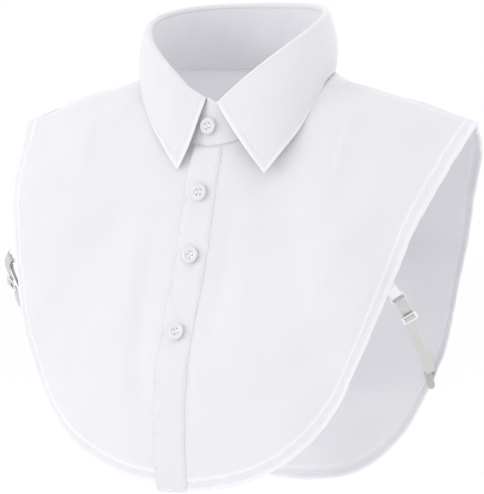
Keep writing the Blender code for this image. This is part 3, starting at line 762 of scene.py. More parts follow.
def stand_surface(angle, share, lift=0.0):
    """Outer stand or its layers: share runs from the neck seam up to the top edge."""
    turned = (angle + math.pi) % (2 * math.pi) - math.pi
    bottom = neck_seam(angle) - np.array([0.0, 0.0, STAND_TUCK])
    top = front_crest(angle)
    leaf_end = np.where(turned < 0.0, FALL_END, FALL_START)
    covered = smooth((np.abs(turned) / leaf_end - 0.9) / 0.3)
    top[..., 2] -= STAND_BELOW_FOLD * covered
    from_end = (angle + STAND_LAP) / STAND_LAP
    top[..., 2] -= STAND_CORNER * np.clip(1.0 - from_end, 0.0, 1.0) ** 2.5
    outwards = ring_outwards(neck_seam, angle)
    own = LAYER * smooth((STAND_LAP + STAND_FADE - angle) / STAND_FADE)
    behind = smooth((np.abs(turned) - STAND_WORN_FROM) / 0.5) * np.sin(math.pi * share)
    worn = ripple(NECK_HALF_WIDTH * angle + 0.022 * share, 4) - 1.0
    worn = worn + 0.5 * ripple(NECK_HALF_WIDTH * angle * 0.6 - 0.016 * share, 11) - 0.5
    own = own + STAND_WORN * worn * behind
    along = share[..., None]
    return bottom * (1 - along) + top * along + outwards * (own + lift)[..., None]


def fall_surface(u, section, lift):
    """Fall: section is below 0 on the inside, 0 to 1 over the roll, then 1 to 2 down the leaf."""
    angle = FALL_START + u * (2 * math.pi - FALL_START - FALL_END)
    crest = front_crest(angle)
    outwards = ring_outwards(fold_line, angle)
    left = curve_through(FALL_EDGE_LEFT, np.clip(1.0 - 2.0 * u, 0.0, 1.0))
    right = curve_through(FALL_EDGE_RIGHT, np.clip(2.0 * u - 1.0, 0.0, 1.0))
    edge = np.where((u <= 0.5)[..., None], left, right)
    up = np.array([0.0, 0.0, 1.0])
    middle = crest + outwards * (WALL + FOLD_ROLL) - up * (WALL + FOLD_ROLL)
    depth = STAND_BELOW_FOLD - WALL - FOLD_ROLL - SEAM_GAP
    turn = math.pi * np.clip(section, 0.0, 1.0)[..., None]
    swing = up * np.sin(turn) - outwards * np.cos(turn)
    rolled = middle + swing * (FOLD_ROLL + lift)[..., None]
    rolled = rolled - up * (np.clip(-section, 0.0, 1.0) * depth)[..., None]
    amount = np.clip(section - 1.0, 0.0, 1.0)[..., None]
    bulge = outwards * FALL_BULGE * np.sin(math.pi * amount)
    ahead = np.stack([-outwards[..., 1], outwards[..., 0], np.zeros_like(u)], -1)
    bow = ahead * FALL_BOW * np.sin(math.pi * amount ** 1.3) * smooth((u - 0.88) / 0.12)[..., None]
    leaf = (middle + outwards * FOLD_ROLL) * (1 - amount) + edge * amount + bulge + bow
    return np.where((section > 1.0)[..., None], leaf + outwards * lift[..., None], rolled)


def panel_piece(name, panel_form, columns, rows, replaced, cotton):
    """A hemmed panel of cloth in the place of its solid."""
    # layers holds the cloth's whiteness: extra layers of cloth, and painted highlights along the hems.
    outer, inner, chart, layers = panel_form.faces(columns, rows)
    made = add_piece(name, shell_mesh(name, outer, inner, chart, layers), cotton)
    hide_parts(replaced)


def placket_piece(cotton):
    """The placket: a folded strip, a little raised at its two stitched edges."""
    u = np.array([0.0, 0.02, 0.06, 0.10, 0.14, 0.25, 0.4, 0.6, 0.75, 0.86, 0.90, 0.94, 0.98, 1.0])
    v = np.concatenate([np.linspace(0.0, 0.97, 150), [0.975, 0.98, 0.985, 0.99, 0.995, 1.0]])
    v, u = np.meshgrid(v, u, indexing="ij")
    edge = np.minimum(u, 1.0 - u) * PLACKET_WIDTH
    groove = 0.00016 * hump(edge, PLACKET_STITCH, 0.0005)
    from_hem = (1.0 - v) * FRONT_LENGTH
    groove = groove + 0.00016 * hump(from_hem, HEM_STITCH, 0.0005)
    outer = placket_surface(u, v, LAYER + PLACKET_RISE - groove)
    inner = placket_surface(u, v, LAYER - 0.0006 + 0 * u)
    chart = np.stack([-FRONT_LAP + PLACKET_WIDTH * u, v * FRONT_LENGTH], -1)
    made = add_piece("placket_strip", shell_mesh("placket_strip", outer, inner, chart, 0.45), cotton)
    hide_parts("placket")


def stand_piece(cotton):
    """The stand: two interlined layers, lapped at the front."""
    angle = np.concatenate([np.linspace(-STAND_LAP, FALL_START, 28)[:-1],
                            np.linspace(FALL_START, 2 * math.pi - FALL_START, 170),
                            np.linspace(2 * math.pi - FALL_START, 2 * math.pi + STAND_LAP, 28)[1:]])
    share = np.array([0.0, 0.02, 0.05, 0.08, 0.16, 0.3, 0.45, 0.6, 0.75, 0.86, 0.92, 0.96, 1.0])
    share, angle = np.meshgrid(share[::-1], angle, indexing="ij")
    groove = 0.00014 * hump(share, STAND_STITCH, 0.018)
    outer = stand_surface(angle, share, WALL + 0.0003 - groove)
    inner = stand_surface(angle, share, groove)
    chart = np.stack([angle * 0.062, share * 0.03], -1)
    made = add_piece("stand_band", shell_mesh("stand_band", outer, inner, chart, 0.45), cotton)
    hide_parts("collar_stand")


def fall_edge_distance(outer):
    """Distance of each point of the leaf from the leaf's outer edges."""
    rows, columns = outer.shape[:2]
    down = np.linalg.norm(np.diff(outer, axis=0), axis=-1)
    below = np.vstack([np.cumsum(down[::-1], axis=0)[::-1], np.zeros((1, columns))])
    across = np.linalg.norm(np.diff(outer, axis=1), axis=-1)
    run = np.hstack([np.zeros((rows, 1)), np.cumsum(across, axis=1)])
    ends = np.minimum(run, run[:, -1:] - run)
    return np.minimum(below, ends), below, run


def fall_piece(cotton):
    """The fall: two interlined layers with a topstitched edge."""
    ends = np.array([0.0, 0.0010, 0.0022, 0.0040, 0.0062, 0.0082, 0.0098, 0.0112, 0.0130])
    u = np.concatenate([ends, np.linspace(0.018, 0.982, 161), 1.0 - ends[::-1]])
    section = np.concatenate([[-1.0, -0.5], np.linspace(0.0, 1.0, 9), 1.0 + np.linspace(
        0.06, 0.84, 14), [1.88, 1.91, 1.93, 1.95, 1.97, 1.985, 1.995, 2.0]])
    section, u = np.meshgrid(section, u, indexing="ij")
    distance, below, run = fall_edge_distance(fall_surface(u, section, np.zeros_like(u)))
    on_leaf = section > 1.02
    groove = 0.00016 * hump(distance, FALL_STITCH, 0.0006) * on_leaf
    rim = 0.00012 * smooth((FALL_STITCH - distance) / 0.0015) * on_leaf
    wave = 0.00030 * ripple(run * 0.8, 2) * hump(below, 0.0, 0.010) * on_leaf
    outer = fall_surface(u, section, FALL_THICK + rim - groove + wave)
    inner = fall_surface(u, section, groove + wave)
    chart = np.stack([u * 0.40, 0.07 - below], -1)
    # Whiteness: 0.35 for the interlined layers, and a painted highlight along the leaf's outer edges.
    layers_and_painted_highlight = 0.35 + 0.65 * hump(distance, 0.0008, 0.0010) * on_leaf
    made = add_piece("fall_leaf", shell_mesh("fall_leaf", outer, inner, chart, layers_and_painted_highlight), cotton)
    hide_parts("collar_fall")


def fall_rows():
    """Places of the fall's topstitching: down one front edge, along the leaf, up the other."""
    section, u = np.meshgrid(1.0 + np.linspace(0.02, 1.0, 160), np.linspace(0.0, 1.0, 900),
                             indexing="ij")
    points = fall_surface(u, section, np.full_like(u, FALL_THICK))
    distance, below, run = fall_edge_distance(points)
    left, bottom, right = [], [], []
    for r in range(points.shape[0]):
        if below[r, 0] > FALL_STITCH:
            k = np.argmin(np.abs(run[r, :60] - FALL_STITCH))
            left.append(points[r, k])
            k = np.argmin(np.abs(run[r, -1] - run[r, -60:] - FALL_STITCH))
            right.append(points[r, -60:][k])
    for c in range(0, points.shape[1], 3):
        r = np.argmin(np.abs(below[:, c] - FALL_STITCH))
        if min(run[r, c], run[r, -1] - run[r, c]) >= FALL_STITCH:
            bottom.append(points[r, c])
    return [np.array(left + bottom + right[::-1])]


def turned_to(point, normal, along):
    """Placement whose z is a normal and whose x lies along a direction."""
    z = Vector(normal).normalized()
    x = (Vector(along) - z * z.dot(Vector(along))).normalized()
    turn = Matrix((x, z.cross(x), z)).transposed().to_4x4()
    return Matrix.Translation(Vector(point)) @ turn


def settled(obj, placement):
    """The object's evaluated mesh with a placement baked in; the object is removed."""
    bpy.context.view_layer.update()
    graph = bpy.context.evaluated_depsgraph_get()
    mesh = bpy.data.meshes.new_from_object(obj.evaluated_get(graph), depsgraph=graph)
    mesh.transform(placement)
    bpy.data.objects.remove(obj, do_unlink=True)
    return mesh


def joined(name, meshes, material):
    """Several meshes made into one piece."""
    bm = bmesh.new()
    for mesh in meshes:
        bm.from_mesh(mesh)
        bpy.data.meshes.remove(mesh)
    mesh = bpy.data.meshes.new(name)
    bm.to_mesh(mesh)
    bm.free()
    mesh.materials.clear()
    mesh.materials.append(material)
    return mesh


def button_disc():
    """A four-hole shirt button with a rounded rim, lying on z = 0."""
    r, t = BUTTON_RADIUS, BUTTON_THICKNESS
    rim = [(r - 0.0016 + 0.0016 * math.cos(a), t - 0.0011 + 0.0011 * math.sin(a))
           for a in np.radians(np.linspace(90, -20, 10))]
    profile = [(0.0, t - BUTTON_DISH), (r - 0.0028, t - BUTTON_DISH), (r - 0.0023, t - 0.0006),
               (r - 0.0019, t - 0.0001)] + rim + [(r - 0.0006, 0.0004), (r - 0.0013, 0.0),
                                                 (0.0, 0.0)]
    mesh = bpy.data.meshes.new("button_profile")
    mesh.from_pydata([(x, 0.0, z) for x, z in profile],
                     [(i, i + 1) for i in range(len(profile) - 1)], [])
    made = linked("button_profile", mesh)
    turned = made.modifiers.new("turned", "SCREW")
    turned.steps = turned.render_steps = 56
    turned.use_merge_vertices = True
    turned.merge_threshold = 0.00001
    cutters = []
    for i in (-1, 1):
        for j in (-1, 1):
            bm = bmesh.new()
            spot = Matrix.Translation((i * BUTTON_HOLE_SPREAD, j * BUTTON_HOLE_SPREAD, 0.0))
            bmesh.ops.create_cone(bm, cap_ends=True, segments=20, radius1=BUTTON_HOLE_RADIUS,
                                  radius2=BUTTON_HOLE_RADIUS, depth=4 * t, matrix=spot)
            cutter_mesh = bpy.data.meshes.new("hole")
            bm.to_mesh(cutter_mesh)
            bm.free()
            cutter = linked("hole", cutter_mesh)
            hole = made.modifiers.new("hole", "BOOLEAN")
            hole.operation = "DIFFERENCE"
            hole.object = cutter
            cutters.append(cutter)
    mesh = settled(made, Matrix.Identity(4))
    for cutter in cutters:
        bpy.data.objects.remove(cutter, do_unlink=True)
    mesh.shade_smooth()
    mesh.set_sharp_from_angle(angle=math.radians(38))
    return mesh


def line_curve(name, lines, cyclic=False):
    """A curve object's data with one straight-jointed line through each list of points."""
    curve = bpy.data.curves.new(name, "CURVE")
    curve.dimensions = "3D"
    for points in lines:
        spline = curve.splines.new("POLY")
        spline.points.add(len(points) - 1)
        for knot, point in zip(spline.points, points):
            knot.co = (*point, 1.0)
        spline.use_cyclic_u = cyclic
    return curve


def tube(points, radius, sides=3, cyclic=False):
    """A round wire or thread through points, as a mesh."""
    curve = line_curve("wire", [points], cyclic)
    curve.bevel_depth = radius
    curve.bevel_resolution = sides
    curve.use_fill_caps = not cyclic
    mesh = settled(linked("wire", curve), Matrix.Identity(4))
    mesh.shade_smooth()
    return mesh


def button_threads():
    """Thread through the four holes, and the short shank under the button."""
    s, top = BUTTON_HOLE_SPREAD, BUTTON_THICKNESS - BUTTON_DISH
    meshes = []
    for j in (-1, 1):
        for k in range(4):
            y = j * s + (k - 1.5) * 0.00027
            arc = [(s * math.cos(a) * 1.02, y, top - 0.0004 + 0.00075 * math.sin(a) ** 0.7)
                   for a in np.linspace(0.0, math.pi, 9)]
            meshes.append(tube([(arc[0][0], y, 0.0006)] + arc + [(arc[-1][0], y, 0.0006)], 0.00017, 1))
    meshes.append(tube([(0.0, 0.0, -0.0012), (0.0, 0.0, 0.0003)], 0.0016))
    return meshes


def button_place(number):
    """Where each button lies: 0 is on the stand, the others are on the placket."""
    if number == 0:
        angle = np.array([0.0, 0.05, -0.05])
        share = np.full(3, STAND_BUTTON_SHARE)
        foot = stand_surface(angle, share, np.full(3, WALL + SEAM_GAP + BUTTON_STAND_OFF))
        ends = stand_surface(np.zeros(2), np.array([0.0, 1.0]), np.zeros(2))
        along, across = ends[0] - ends[1], foot[1] - foot[2]
        normal = np.cross(along, across)
        normal *= -1.0 if normal[1] > 0.0 else 1.0
        return turned_to(foot[0] + np.array([0, 0, LAYER / 2]), normal, along)
    down = np.linspace(0.0, 1.0, 1001)
    height = BUTTON_HEIGHTS[number - 1]
    share = float(np.interp(-height, -whole_front(np.zeros_like(down), down)[:, 2], down))
    foot = whole_front(0.0, share, 2 * LAYER + PLACKET_RISE + 0.0006)
    normal = whole_front(0.0, share, 1e-3) - whole_front(0.0, share)
    along = whole_front(0.0, share + 0.01) - whole_front(0.0, share)
    return turned_to(foot, normal, along)


def add_buttons(pearl, thread):
    """Four buttons, each sewn on with its thread."""
    for number, node in enumerate(("button_collar", "button_1", "button_2", "button_3")):
        spin = Matrix.Rotation(BUTTON_TURNS[number], 4, "Z")
        placement = button_place(number) @ spin
        disc = button_disc()
        disc.transform(placement)
        disc.materials.clear()
        made = add_piece(node + "_disc", disc, pearl)
        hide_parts(node)
        threads = joined(node + "_thread", button_threads(), thread)
        threads.transform(placement)
        sewn = add_piece(node + "_thread", threads, thread)


def on_panel(place, side, point, length):
    """Where a strap lies inside a panel's edge: inner point, edge point, run and across."""
    shares = side * np.linspace(0.3, 1.0, 701)
    gaps = np.linalg.norm(place(shares, np.ones_like(shares)) - np.array(point), axis=1)
    share = shares[int(np.argmin(gaps))]
    last = place(share, 1.0) - place(share, 0.99)
    edge = place(share, 1.0, -STRAP_CLEAR)
    inner = place(share, 1.0 - length / (np.linalg.norm(last) / 0.01), -STRAP_CLEAR)
    run = (edge - inner) / np.linalg.norm(edge - inner)
    normal = place(share, 1.0, 0.0) - place(share, 1.0, -1e-3)
    across = np.cross(run, normal)
    across *= side * np.sign(across[0]) / np.linalg.norm(across)
    return inner, edge, run, across


class Strap:
    """A side strap: its smooth route and, along it, the band's own directions."""

    def __init__(self, side, rows):
        self.side = side
        rows = np.array(rows)
        self.front_inside, rows[0], _, front = on_panel(whole_front, side, rows[0], SEWN_LENGTH)
        rows[-1], edge, run, back = on_panel(whole_back, side, rows[-1], SEWN_LENGTH)
        self.back_end = edge + run * PAST_EDGE
        self.points = curve_through(rows, np.linspace(0.0, 1.0, 400))
        self.marks = marks_along(self.points)
        self.length = self.marks[-1]
        middle = np.array(STRAP_WIDTH) * np.array([side, 1.0, 1.0])
        self.widths = np.array([front, middle, middle, back])
        self.width_marks = np.array(STRAP_WIDTH_SHARES) * self.length

    def at(self, length):
        """Point, direction along, direction across and outward direction at a length."""
        def read(place, marks=self.marks, rows=self.points):
            return np.array([np.interp(place, marks, rows[:, k]) for k in range(3)])
        along = read(length + 0.002) - read(length - 0.002)
        along /= np.linalg.norm(along)
        across = read(length, self.width_marks, self.widths)
        across -= along * across.dot(along)
        across /= np.linalg.norm(across)
        outward = np.cross(across, along) * self.side
        return read(length), along, across, outward

    def band_path(self, pairs):
        """Points and width directions for pairs of length along and distance outward."""
        points, widths = [], []
        for length, out in pairs:
            point, _, across, outward = self.at(length)
            points.append(point + outward * out)
            widths.append(across)
        return points, widths


def around_bar(length, direction):
    """Half a turn about a ring's bar: pairs of length along and distance outward."""
    return [(length + direction * BAR_CLEAR * math.sin(t), BAR_CLEAR * (1 - math.cos(t)))
            for t in np.linspace(0.0, math.pi, 15)]


def band_piece(name, points, widths, width, thick, side, material, waves=0.0, rounding=0.0):
    """A flat band along a path, closed and with rounded edges, its wall on the path's far side."""
    points, widths = np.array(points), np.array(widths)
    tangent = np.gradient(points, axis=0)
    tangent /= np.linalg.norm(tangent, axis=1, keepdims=True)
    normal = side * np.cross(tangent, widths)
    normal /= np.linalg.norm(normal, axis=1, keepdims=True)
    run = marks_along(points)
    across = np.array([-0.5, -0.47, -0.42, -0.3, -0.15, 0.0, 0.15, 0.3, 0.42, 0.47, 0.5])
    wide = width * (1.0 + waves * np.sin(2 * math.pi * run / 0.0016))
    if rounding:
        from_end = np.clip(np.minimum(run, run[-1] - run) / rounding, 0.0, 1.0)
        wide = wide * (0.45 + 0.55 * np.sqrt(from_end * (2.0 - from_end)))
    flat = points[:, None] + widths[:, None] * (across[None, :] * wide[:, None])[..., None]
    thin = 1.0 - 0.45 * (np.abs(across) / 0.5) ** 6
    middle = flat + normal[:, None] * (WALL / 2)
    half = normal[:, None] * (thick / 2 * thin)[None, :, None]
    chart = np.stack([across[None, :] * wide[:, None], run[:, None] + 0 * across[None, :]], -1)
    return add_piece(name, shell_mesh(name, middle + half, middle - half, chart), material)


def along_path(pairs, step):
    """Pairs of length and distance outward with more pairs between them."""
    pairs = np.array(pairs)
    marks = marks_along(pairs)
    places = np.linspace(0.0, marks[-1], int(marks[-1] / step) + 2)
    return list(zip(np.interp(places, marks, pairs[:, 0]), np.interp(places, marks, pairs[:, 1])))


def tab_piece(strap, label, cotton):
    """A loop of cloth from inside the front's edge round the ring's first bar."""
    pairs = [(0.0, 0.0), (0.0025, 0.0), (0.005, 0.0)] + around_bar(TAB_LENGTH, 1)
    pairs += [(0.005, 2 * BAR_CLEAR), (0.0025, 2 * BAR_CLEAR)]
    points, widths = strap.band_path(along_path(pairs, 0.0004))
    start = [strap.front_inside * (1 - t) + points[0] * t for t in np.linspace(0.0, 0.92, 10)]
    points = start + points
    widths = [strap.widths[0]] * len(start) + widths
    made = band_piece("tab_cloth_" + label, points, widths, TAB_WIDTH, 0.0009, strap.side, cotton)
    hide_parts("tab_" + label)


def over_slider_bar():
    """The elastic's way in at one slot and out at the other: pairs of length and distance outward."""
    bar = SLOT_SPREAD - SLOT_LENGTH / 2
    ramp = SLOT_LENGTH - 0.0002
    rise = WALL + 2 * SEAM_GAP + SLIDER_THICKNESS + 0.0002
    pairs = []
    for place in np.linspace(-bar - ramp, bar + ramp, 45):
        share = np.clip((abs(place) - bar) / ramp, 0.0, 1.0)
        pairs.append((SLIDER_PLACE + place, -rise * 0.5 * (1.0 + math.cos(math.pi * share))))
    return pairs


def elastic_piece(strap, label, ribbed):
    """The elastic: from its free end round the ring's second bar and on to the back."""
    second = TAB_LENGTH + RING_LENGTH
    free_end = SLIDER_PLACE + SLIDER_LENGTH / 2
    pairs = [(free_end, 2 * BAR_CLEAR), (second + 0.002, 2 * BAR_CLEAR)]
    pairs += around_bar(second, -1)[::-1]
    pairs += [(second + 0.002, 0.0)] + over_slider_bar() + [(strap.length, 0.0)]
    points, widths = strap.band_path(along_path(pairs, 0.0003))
    last = points[-1]
    for t in np.linspace(0.1, 1.0, 10):
        points.append(last * (1 - t) + strap.back_end * t)
        widths.append(strap.widths[-1])
    made = band_piece("elastic_band_" + label, points, widths, ELASTIC_WIDTH, 0.00095,
                      strap.side, ribbed, 0.012, ELASTIC_WIDTH / 2)
    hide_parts("elastic_" + label)


def rounded_rectangle(length, width, corner, place=0.0):
    """Points of a level rectangle with round corners, anticlockwise, its middle at a place along x."""
    points = []
    for k, (i, j) in enumerate([(1, 1), (-1, 1), (-1, -1), (1, -1)]):
        middle = (i * (length / 2 - corner), j * (width / 2 - corner))
        for step in range(CORNER_POINTS):
            turn = math.pi / 2 * (k + step / (CORNER_POINTS - 1))
            points.append((middle[0] + corner * math.cos(turn) + place,
                           middle[1] + corner * math.sin(turn), 0.0))
    return points


def ring_piece(strap, label, silver):
    """The bent wire ring between the tab and the elastic."""
    outline = rounded_rectangle(RING_LENGTH, RING_WIDTH, RING_CORNER)
    mesh = tube(outline, WIRE_RADIUS, 5, True)
    point, along, _, outward = strap.at(TAB_LENGTH + RING_LENGTH / 2)
    mesh.transform(turned_to(point + outward * BAR_CLEAR, outward, along))
    made = add_piece("ring_wire_" + label, mesh, silver)
    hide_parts("ring_" + label)


def slider_piece(strap, label, silver):
    """The flat slider with two slots and softened edges."""
    soft = SLIDER_SOFT
    outlines = [rounded_rectangle(SLIDER_LENGTH - 2 * soft, SLIDER_WIDTH - 2 * soft,
                                  SLIDER_CORNER - soft)]
    for place in (-SLOT_SPREAD, SLOT_SPREAD):
        outlines.append(rounded_rectangle(SLOT_LENGTH + 2 * soft, SLOT_WIDTH + 2 * soft,
                                          SLOT_CORNER + soft, place))
    curve = line_curve("slider_outline", outlines, True)
    curve.dimensions = "2D"
    curve.fill_mode = "BOTH"
    curve.extrude = SLIDER_THICKNESS / 2 - soft
    curve.bevel_depth = soft
    curve.bevel_resolution = 2
    made = linked("slider_outline", curve)
    point, along, _, outward = strap.at(SLIDER_PLACE)
    point = point - outward * (WALL + 2 * SEAM_GAP + SLIDER_THICKNESS / 2)
    mesh = settled(made, turned_to(point, outward, along))
    bm = bmesh.new()
    bm.from_mesh(mesh)
    bmesh.ops.remove_doubles(bm, verts=bm.verts, dist=0.000005)
    bmesh.ops.recalc_face_normals(bm, faces=bm.faces)
    bm.to_mesh(mesh)
    bm.free()
    mesh.materials.clear()
    mesh.shade_smooth()
    mesh.set_sharp_from_angle(angle=math.radians(30))
    made = add_piece("slider_plate_" + label, mesh, silver)
    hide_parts("slider_" + label)


def feed(tree, node, inputs):
    """Gives a node's inputs their values, and links those that take another node's output."""
    for key, value in inputs.items():
        if isinstance(value, bpy.types.NodeSocket):
            tree.links.new(value, node.inputs[key])
        else:
            node.inputs[key].default_value = value


def add_node(tree, kind, inputs=None, **settings):
    """A new node with its settings and its inputs."""
    node = tree.nodes.new(kind)
    for key, value in settings.items():
        setattr(node, key, value)
    feed(tree, node, inputs or {})
    return node


def stitch_tree(thread):
    """Node tree that lays a row of stitches along each line of a curve."""
    tree = bpy.data.node_groups.new("stitch_row", "GeometryNodeTree")
    sockets = {}
    for name, kind in (("Lines", "Geometry"), ("Pitch", "Float"), ("Stitch Length", "Float"),
                       ("Thread Width", "Float"), ("Seed", "Int")):
        made = tree.interface.new_socket(name, in_out="INPUT", socket_type="NodeSocket" + kind)
        sockets[name] = made.identifier
    tree.interface.new_socket("Stitches", in_out="OUTPUT", socket_type="NodeSocketGeometry")
    start = add_node(tree, "NodeGroupInput").outputs
    spots = add_node(tree, "GeometryNodeCurveToPoints",
                     {"Curve": start["Lines"], "Length": start["Pitch"]}, mode="LENGTH").outputs
    turn = add_node(tree, "FunctionNodeAlignRotationToVector", {"Vector": spots["Tangent"]}, axis="X")
    bead = add_node(tree, "GeometryNodeMeshUVSphere", {"Segments": 6, "Rings": 4, "Radius": 0.5})
    vary = add_node(tree, "FunctionNodeRandomValue", {2: 0.90, 3: 1.08, "Seed": start["Seed"]},
                    data_type="FLOAT")
    grow = add_node(tree, "ShaderNodeMath", {0: start["Stitch Length"], 1: vary.outputs[1]},
                    operation="MULTIPLY")
    size = add_node(tree, "ShaderNodeCombineXYZ", {"X": grow.outputs[0], "Y": start["Thread Width"],
                                                   "Z": start["Thread Width"]})
    rows = add_node(tree, "GeometryNodeInstanceOnPoints",
                    {"Points": spots["Points"], "Instance": bead.outputs["Mesh"],
                     "Rotation": turn.outputs["Rotation"], "Scale": size.outputs["Vector"]})
    shape = rows.outputs["Instances"]
    for kind, more in (("RealizeInstances", {}), ("SetShadeSmooth", {}),
                       ("SetMaterial", {"Material": thread})):
        node = add_node(tree, "GeometryNode" + kind, {"Geometry": shape, **more})
        shape = node.outputs["Geometry"]
    add_node(tree, "NodeGroupOutput", {"Stitches": shape})
    return tree, sockets


def stitch_piece(name, lines, tree, sockets, thread, seed):
    """Rows of stitches along lines of points, made one plain mesh."""
    rows = linked(name + "_lines", line_curve(name + "_lines", lines))
    laid = rows.modifiers.new("stitches", "NODES")
    laid.node_group = tree
    laid[sockets["Pitch"]] = STITCH_PITCH
    laid[sockets["Stitch Length"]] = STITCH_LENGTH
    laid[sockets["Thread Width"]] = THREAD_WIDTH
    laid[sockets["Seed"]] = seed
    mesh = settled(rows, Matrix.Identity(4))
    mesh.name = name
    made = add_piece(name, mesh, thread)


class Look:
    """A material whose colour and gloss are slightly uneven over a piece."""

    def __init__(self, name, dark, light, scale, rough):
        self.material = bpy.data.materials.new(name)
        self.material.use_nodes = True
        self.tree = self.material.node_tree
        self.place = add_node(self.tree, "ShaderNodeTexCoord").outputs["Object"]
        cloud = self.noise(scale, 3.0, 0.55)
        self.colour = self.mix(cloud, (*dark, 1.0), (*light, 1.0))
        gloss = add_node(self.tree, "ShaderNodeMapRange",
                         {"Value": cloud, "To Min": rough[0], "To Max": rough[1]})
        self.shade({"Base Color": self.colour, "Roughness": gloss.outputs["Result"]})

    def shade(self, inputs):
        """Values and links of the shader."""
        feed(self.tree, self.tree.nodes["Principled BSDF"], inputs)

    def noise(self, scale, detail=2.0, roughness=0.5, distortion=0.0):
        """Cloudy noise over the piece."""
        values = {"Vector": self.place, "Scale": scale, "Detail": detail,
                  "Roughness": roughness, "Distortion": distortion}
        return add_node(self.tree, "ShaderNodeTexNoise", values).outputs["Fac"]

    def mix(self, share, first, second):
        """A colour between two others."""
        node = add_node(self.tree, "ShaderNodeMix", {0: share, 6: first, 7: second},
                        data_type="RGBA")
        return node.outputs[2]

    def reckon(self, operation, first, second=0.5):
        """The result of one operation on a value or two."""
        node = add_node(self.tree, "ShaderNodeMath", {0: first, 1: second}, operation=operation)
        return node.outputs[0]

    def waves(self, operation, rates):
        """Waves across and along the cloth's own chart, by how fast each one turns."""
        chart = add_node(self.tree, "ShaderNodeUVMap", uv_map="chart").outputs["UV"]
        parts = add_node(self.tree, "ShaderNodeSeparateXYZ", {"Vector": chart}).outputs
        return [self.reckon(operation, self.reckon("MULTIPLY", parts[k], rate))
                for k, rate in enumerate(rates)]

    def relief(self, layers):
        """Bumps laid over each other: height, strength and distance of each."""
        before = {}
        for height, strength, distance in layers:
            values = {"Height": height, "Strength": strength, "Distance": distance, **before}
            bump = add_node(self.tree, "ShaderNodeBump", values)
            before = {"Normal": bump.outputs["Normal"]}
        self.shade(before)


def cotton_cloth():
    """White shirt cotton: fine weave, soft handling wrinkles, a cool cast, whiter where it lies in
    more layers and where highlights are painted along hems and the fall's edges.
    """
    look = Look("white_shirt_cotton", (0.668, 0.661, 0.696), (0.701, 0.694, 0.729), 14.0, (0.74, 0.88))
    # The layers attribute mixes the colour towards white: real extra layers, and painted highlights
    # along hem edges, hem ridges and the fall's edges.
    layers = add_node(look.tree, "ShaderNodeAttribute", attribute_name="layers").outputs["Fac"]
    share = look.reckon("MULTIPLY", layers, 0.7)
    look.shade({"Base Color": look.mix(share, look.colour, (0.840, 0.834, 0.868, 1.0)),
                "Subsurface Weight": 0.55, "Subsurface Radius": (1.0, 1.0, 1.0),
                "Subsurface Scale": 0.0015, "Sheen Weight": 0.12, "Sheen Roughness": 0.5})
    weave = look.reckon("MULTIPLY", *look.waves("SINE", [math.pi / WEAVE_PITCH] * 2))
    slub = look.noise(900.0)
    wrinkle = look.noise(26.0, 2.0, 0.4, 0.3)
    look.relief([(wrinkle, 0.34, 0.0040), (weave, 0.30, 0.00006), (slub, 0.25, 0.00005)])
    return look.material


def cotton_thread():
    """Sewing thread, a little brighter than the cloth."""
    look = Look("white_sewing_thread", (0.84, 0.835, 0.865), (0.90, 0.895, 0.92), 300.0, (0.5, 0.65))
    look.relief([(look.noise(5000.0, 1.0), 0.4, 0.00005)])
    return look.material


def button_pearl():
    """Glossy white button plastic with faint cloudiness."""
    look = Look("white_button_plastic", (0.66, 0.655, 0.69), (0.74, 0.735, 0.77), 260.0, (0.22, 0.34))
    look.shade({"Coat Weight": 0.35, "Coat Roughness": 0.12, "Subsurface Weight": 0.15,
                "Subsurface Radius": (1.0, 0.9, 0.8), "Subsurface Scale": 0.0008})
    look.relief([(look.noise(900.0), 0.12, 0.00006)])
    return look.material


def ribbed_elastic():
    """Woven elastic: ribs along the band, fine crosswise threads."""
    look = Look("woven_elastic", (0.58, 0.575, 0.57), (0.64, 0.635, 0.625), 120.0, (0.7, 0.85))
    ribs, threads = look.waves("COSINE", [2 * math.pi / pitch for pitch in RIB_PITCHES])
    look.relief([(ribs, 0.7, 0.00016), (threads, 0.45, 0.00009)])
    return look.material


def plated_metal():
    """Bright plated wire and plate with a slightly uneven polish."""
    look = Look("bright_plated_metal", (0.72, 0.72, 0.74), (0.84, 0.84, 0.86), 350.0, (0.16, 0.32))
    look.shade({"Metallic": 1.0})
    look.relief([(look.noise(1400.0), 0.10, 0.00005)])
    return look.material


def studio():
    """Pale floor, white surroundings, four soft lamps and the camera."""
    scene = bpy.context.scene
    bm = bmesh.new()
    bmesh.ops.create_grid(bm, x_segments=1, y_segments=1, size=FLOOR_SIZE / 2,
                          matrix=Matrix.Translation((0.0, 0.0, FLOOR_HEIGHT)))
    mesh = bpy.data.meshes.new("studio_floor")
    bm.to_mesh(mesh)
    bm.free()
    floor = linked("studio_floor", mesh)
    mesh.materials.append(Look("pale_floor", FLOOR_COLOUR, FLOOR_COLOUR, 2.0, (0.85, 0.9)).material)

    world = bpy.data.worlds.new("white_studio")
    scene.world = world
    world.use_nodes = True
    feed(world.node_tree, world.node_tree.nodes["Background"],
         {"Color": (1.0, 1.0, 1.0, 1.0), "Strength": WORLD_LIGHT})

    right, back = camera_axes()
    target = Vector(CAMERA_TARGET)
    for name, (side, towards, height), size, power in LAMPS:
        place = target + right * side + back * towards + Vector((0, 0, height))
        data = bpy.data.lights.new(name, "AREA")
        data.shape = "DISK"
        data.size = size
        data.energy = power
        linked(name, data).matrix_world = looking(place, target)

    data = bpy.data.cameras.new("camera")
    data.sensor_fit = "VERTICAL"
    data.sensor_height = 24.0
    data.lens = CAMERA_LENS
    data.clip_start = 0.05
    data.clip_end = 50.0
    camera = linked("camera", data)
    camera.matrix_world = looking(target + back * CAMERA_DISTANCE, target)
    scene.camera = camera
    scene.view_settings.view_transform = "Standard"


def camera_axes():
    """The camera's right and the direction back to it."""
    turn, rise = math.radians(CAMERA_AZIMUTH), math.radians(CAMERA_ELEVATION)
    right = Vector((math.cos(turn), math.sin(turn), 0.0))
    back = Vector((math.sin(turn) * math.cos(rise), -math.cos(turn) * math.cos(rise),
                   math.sin(rise)))
    return right, back


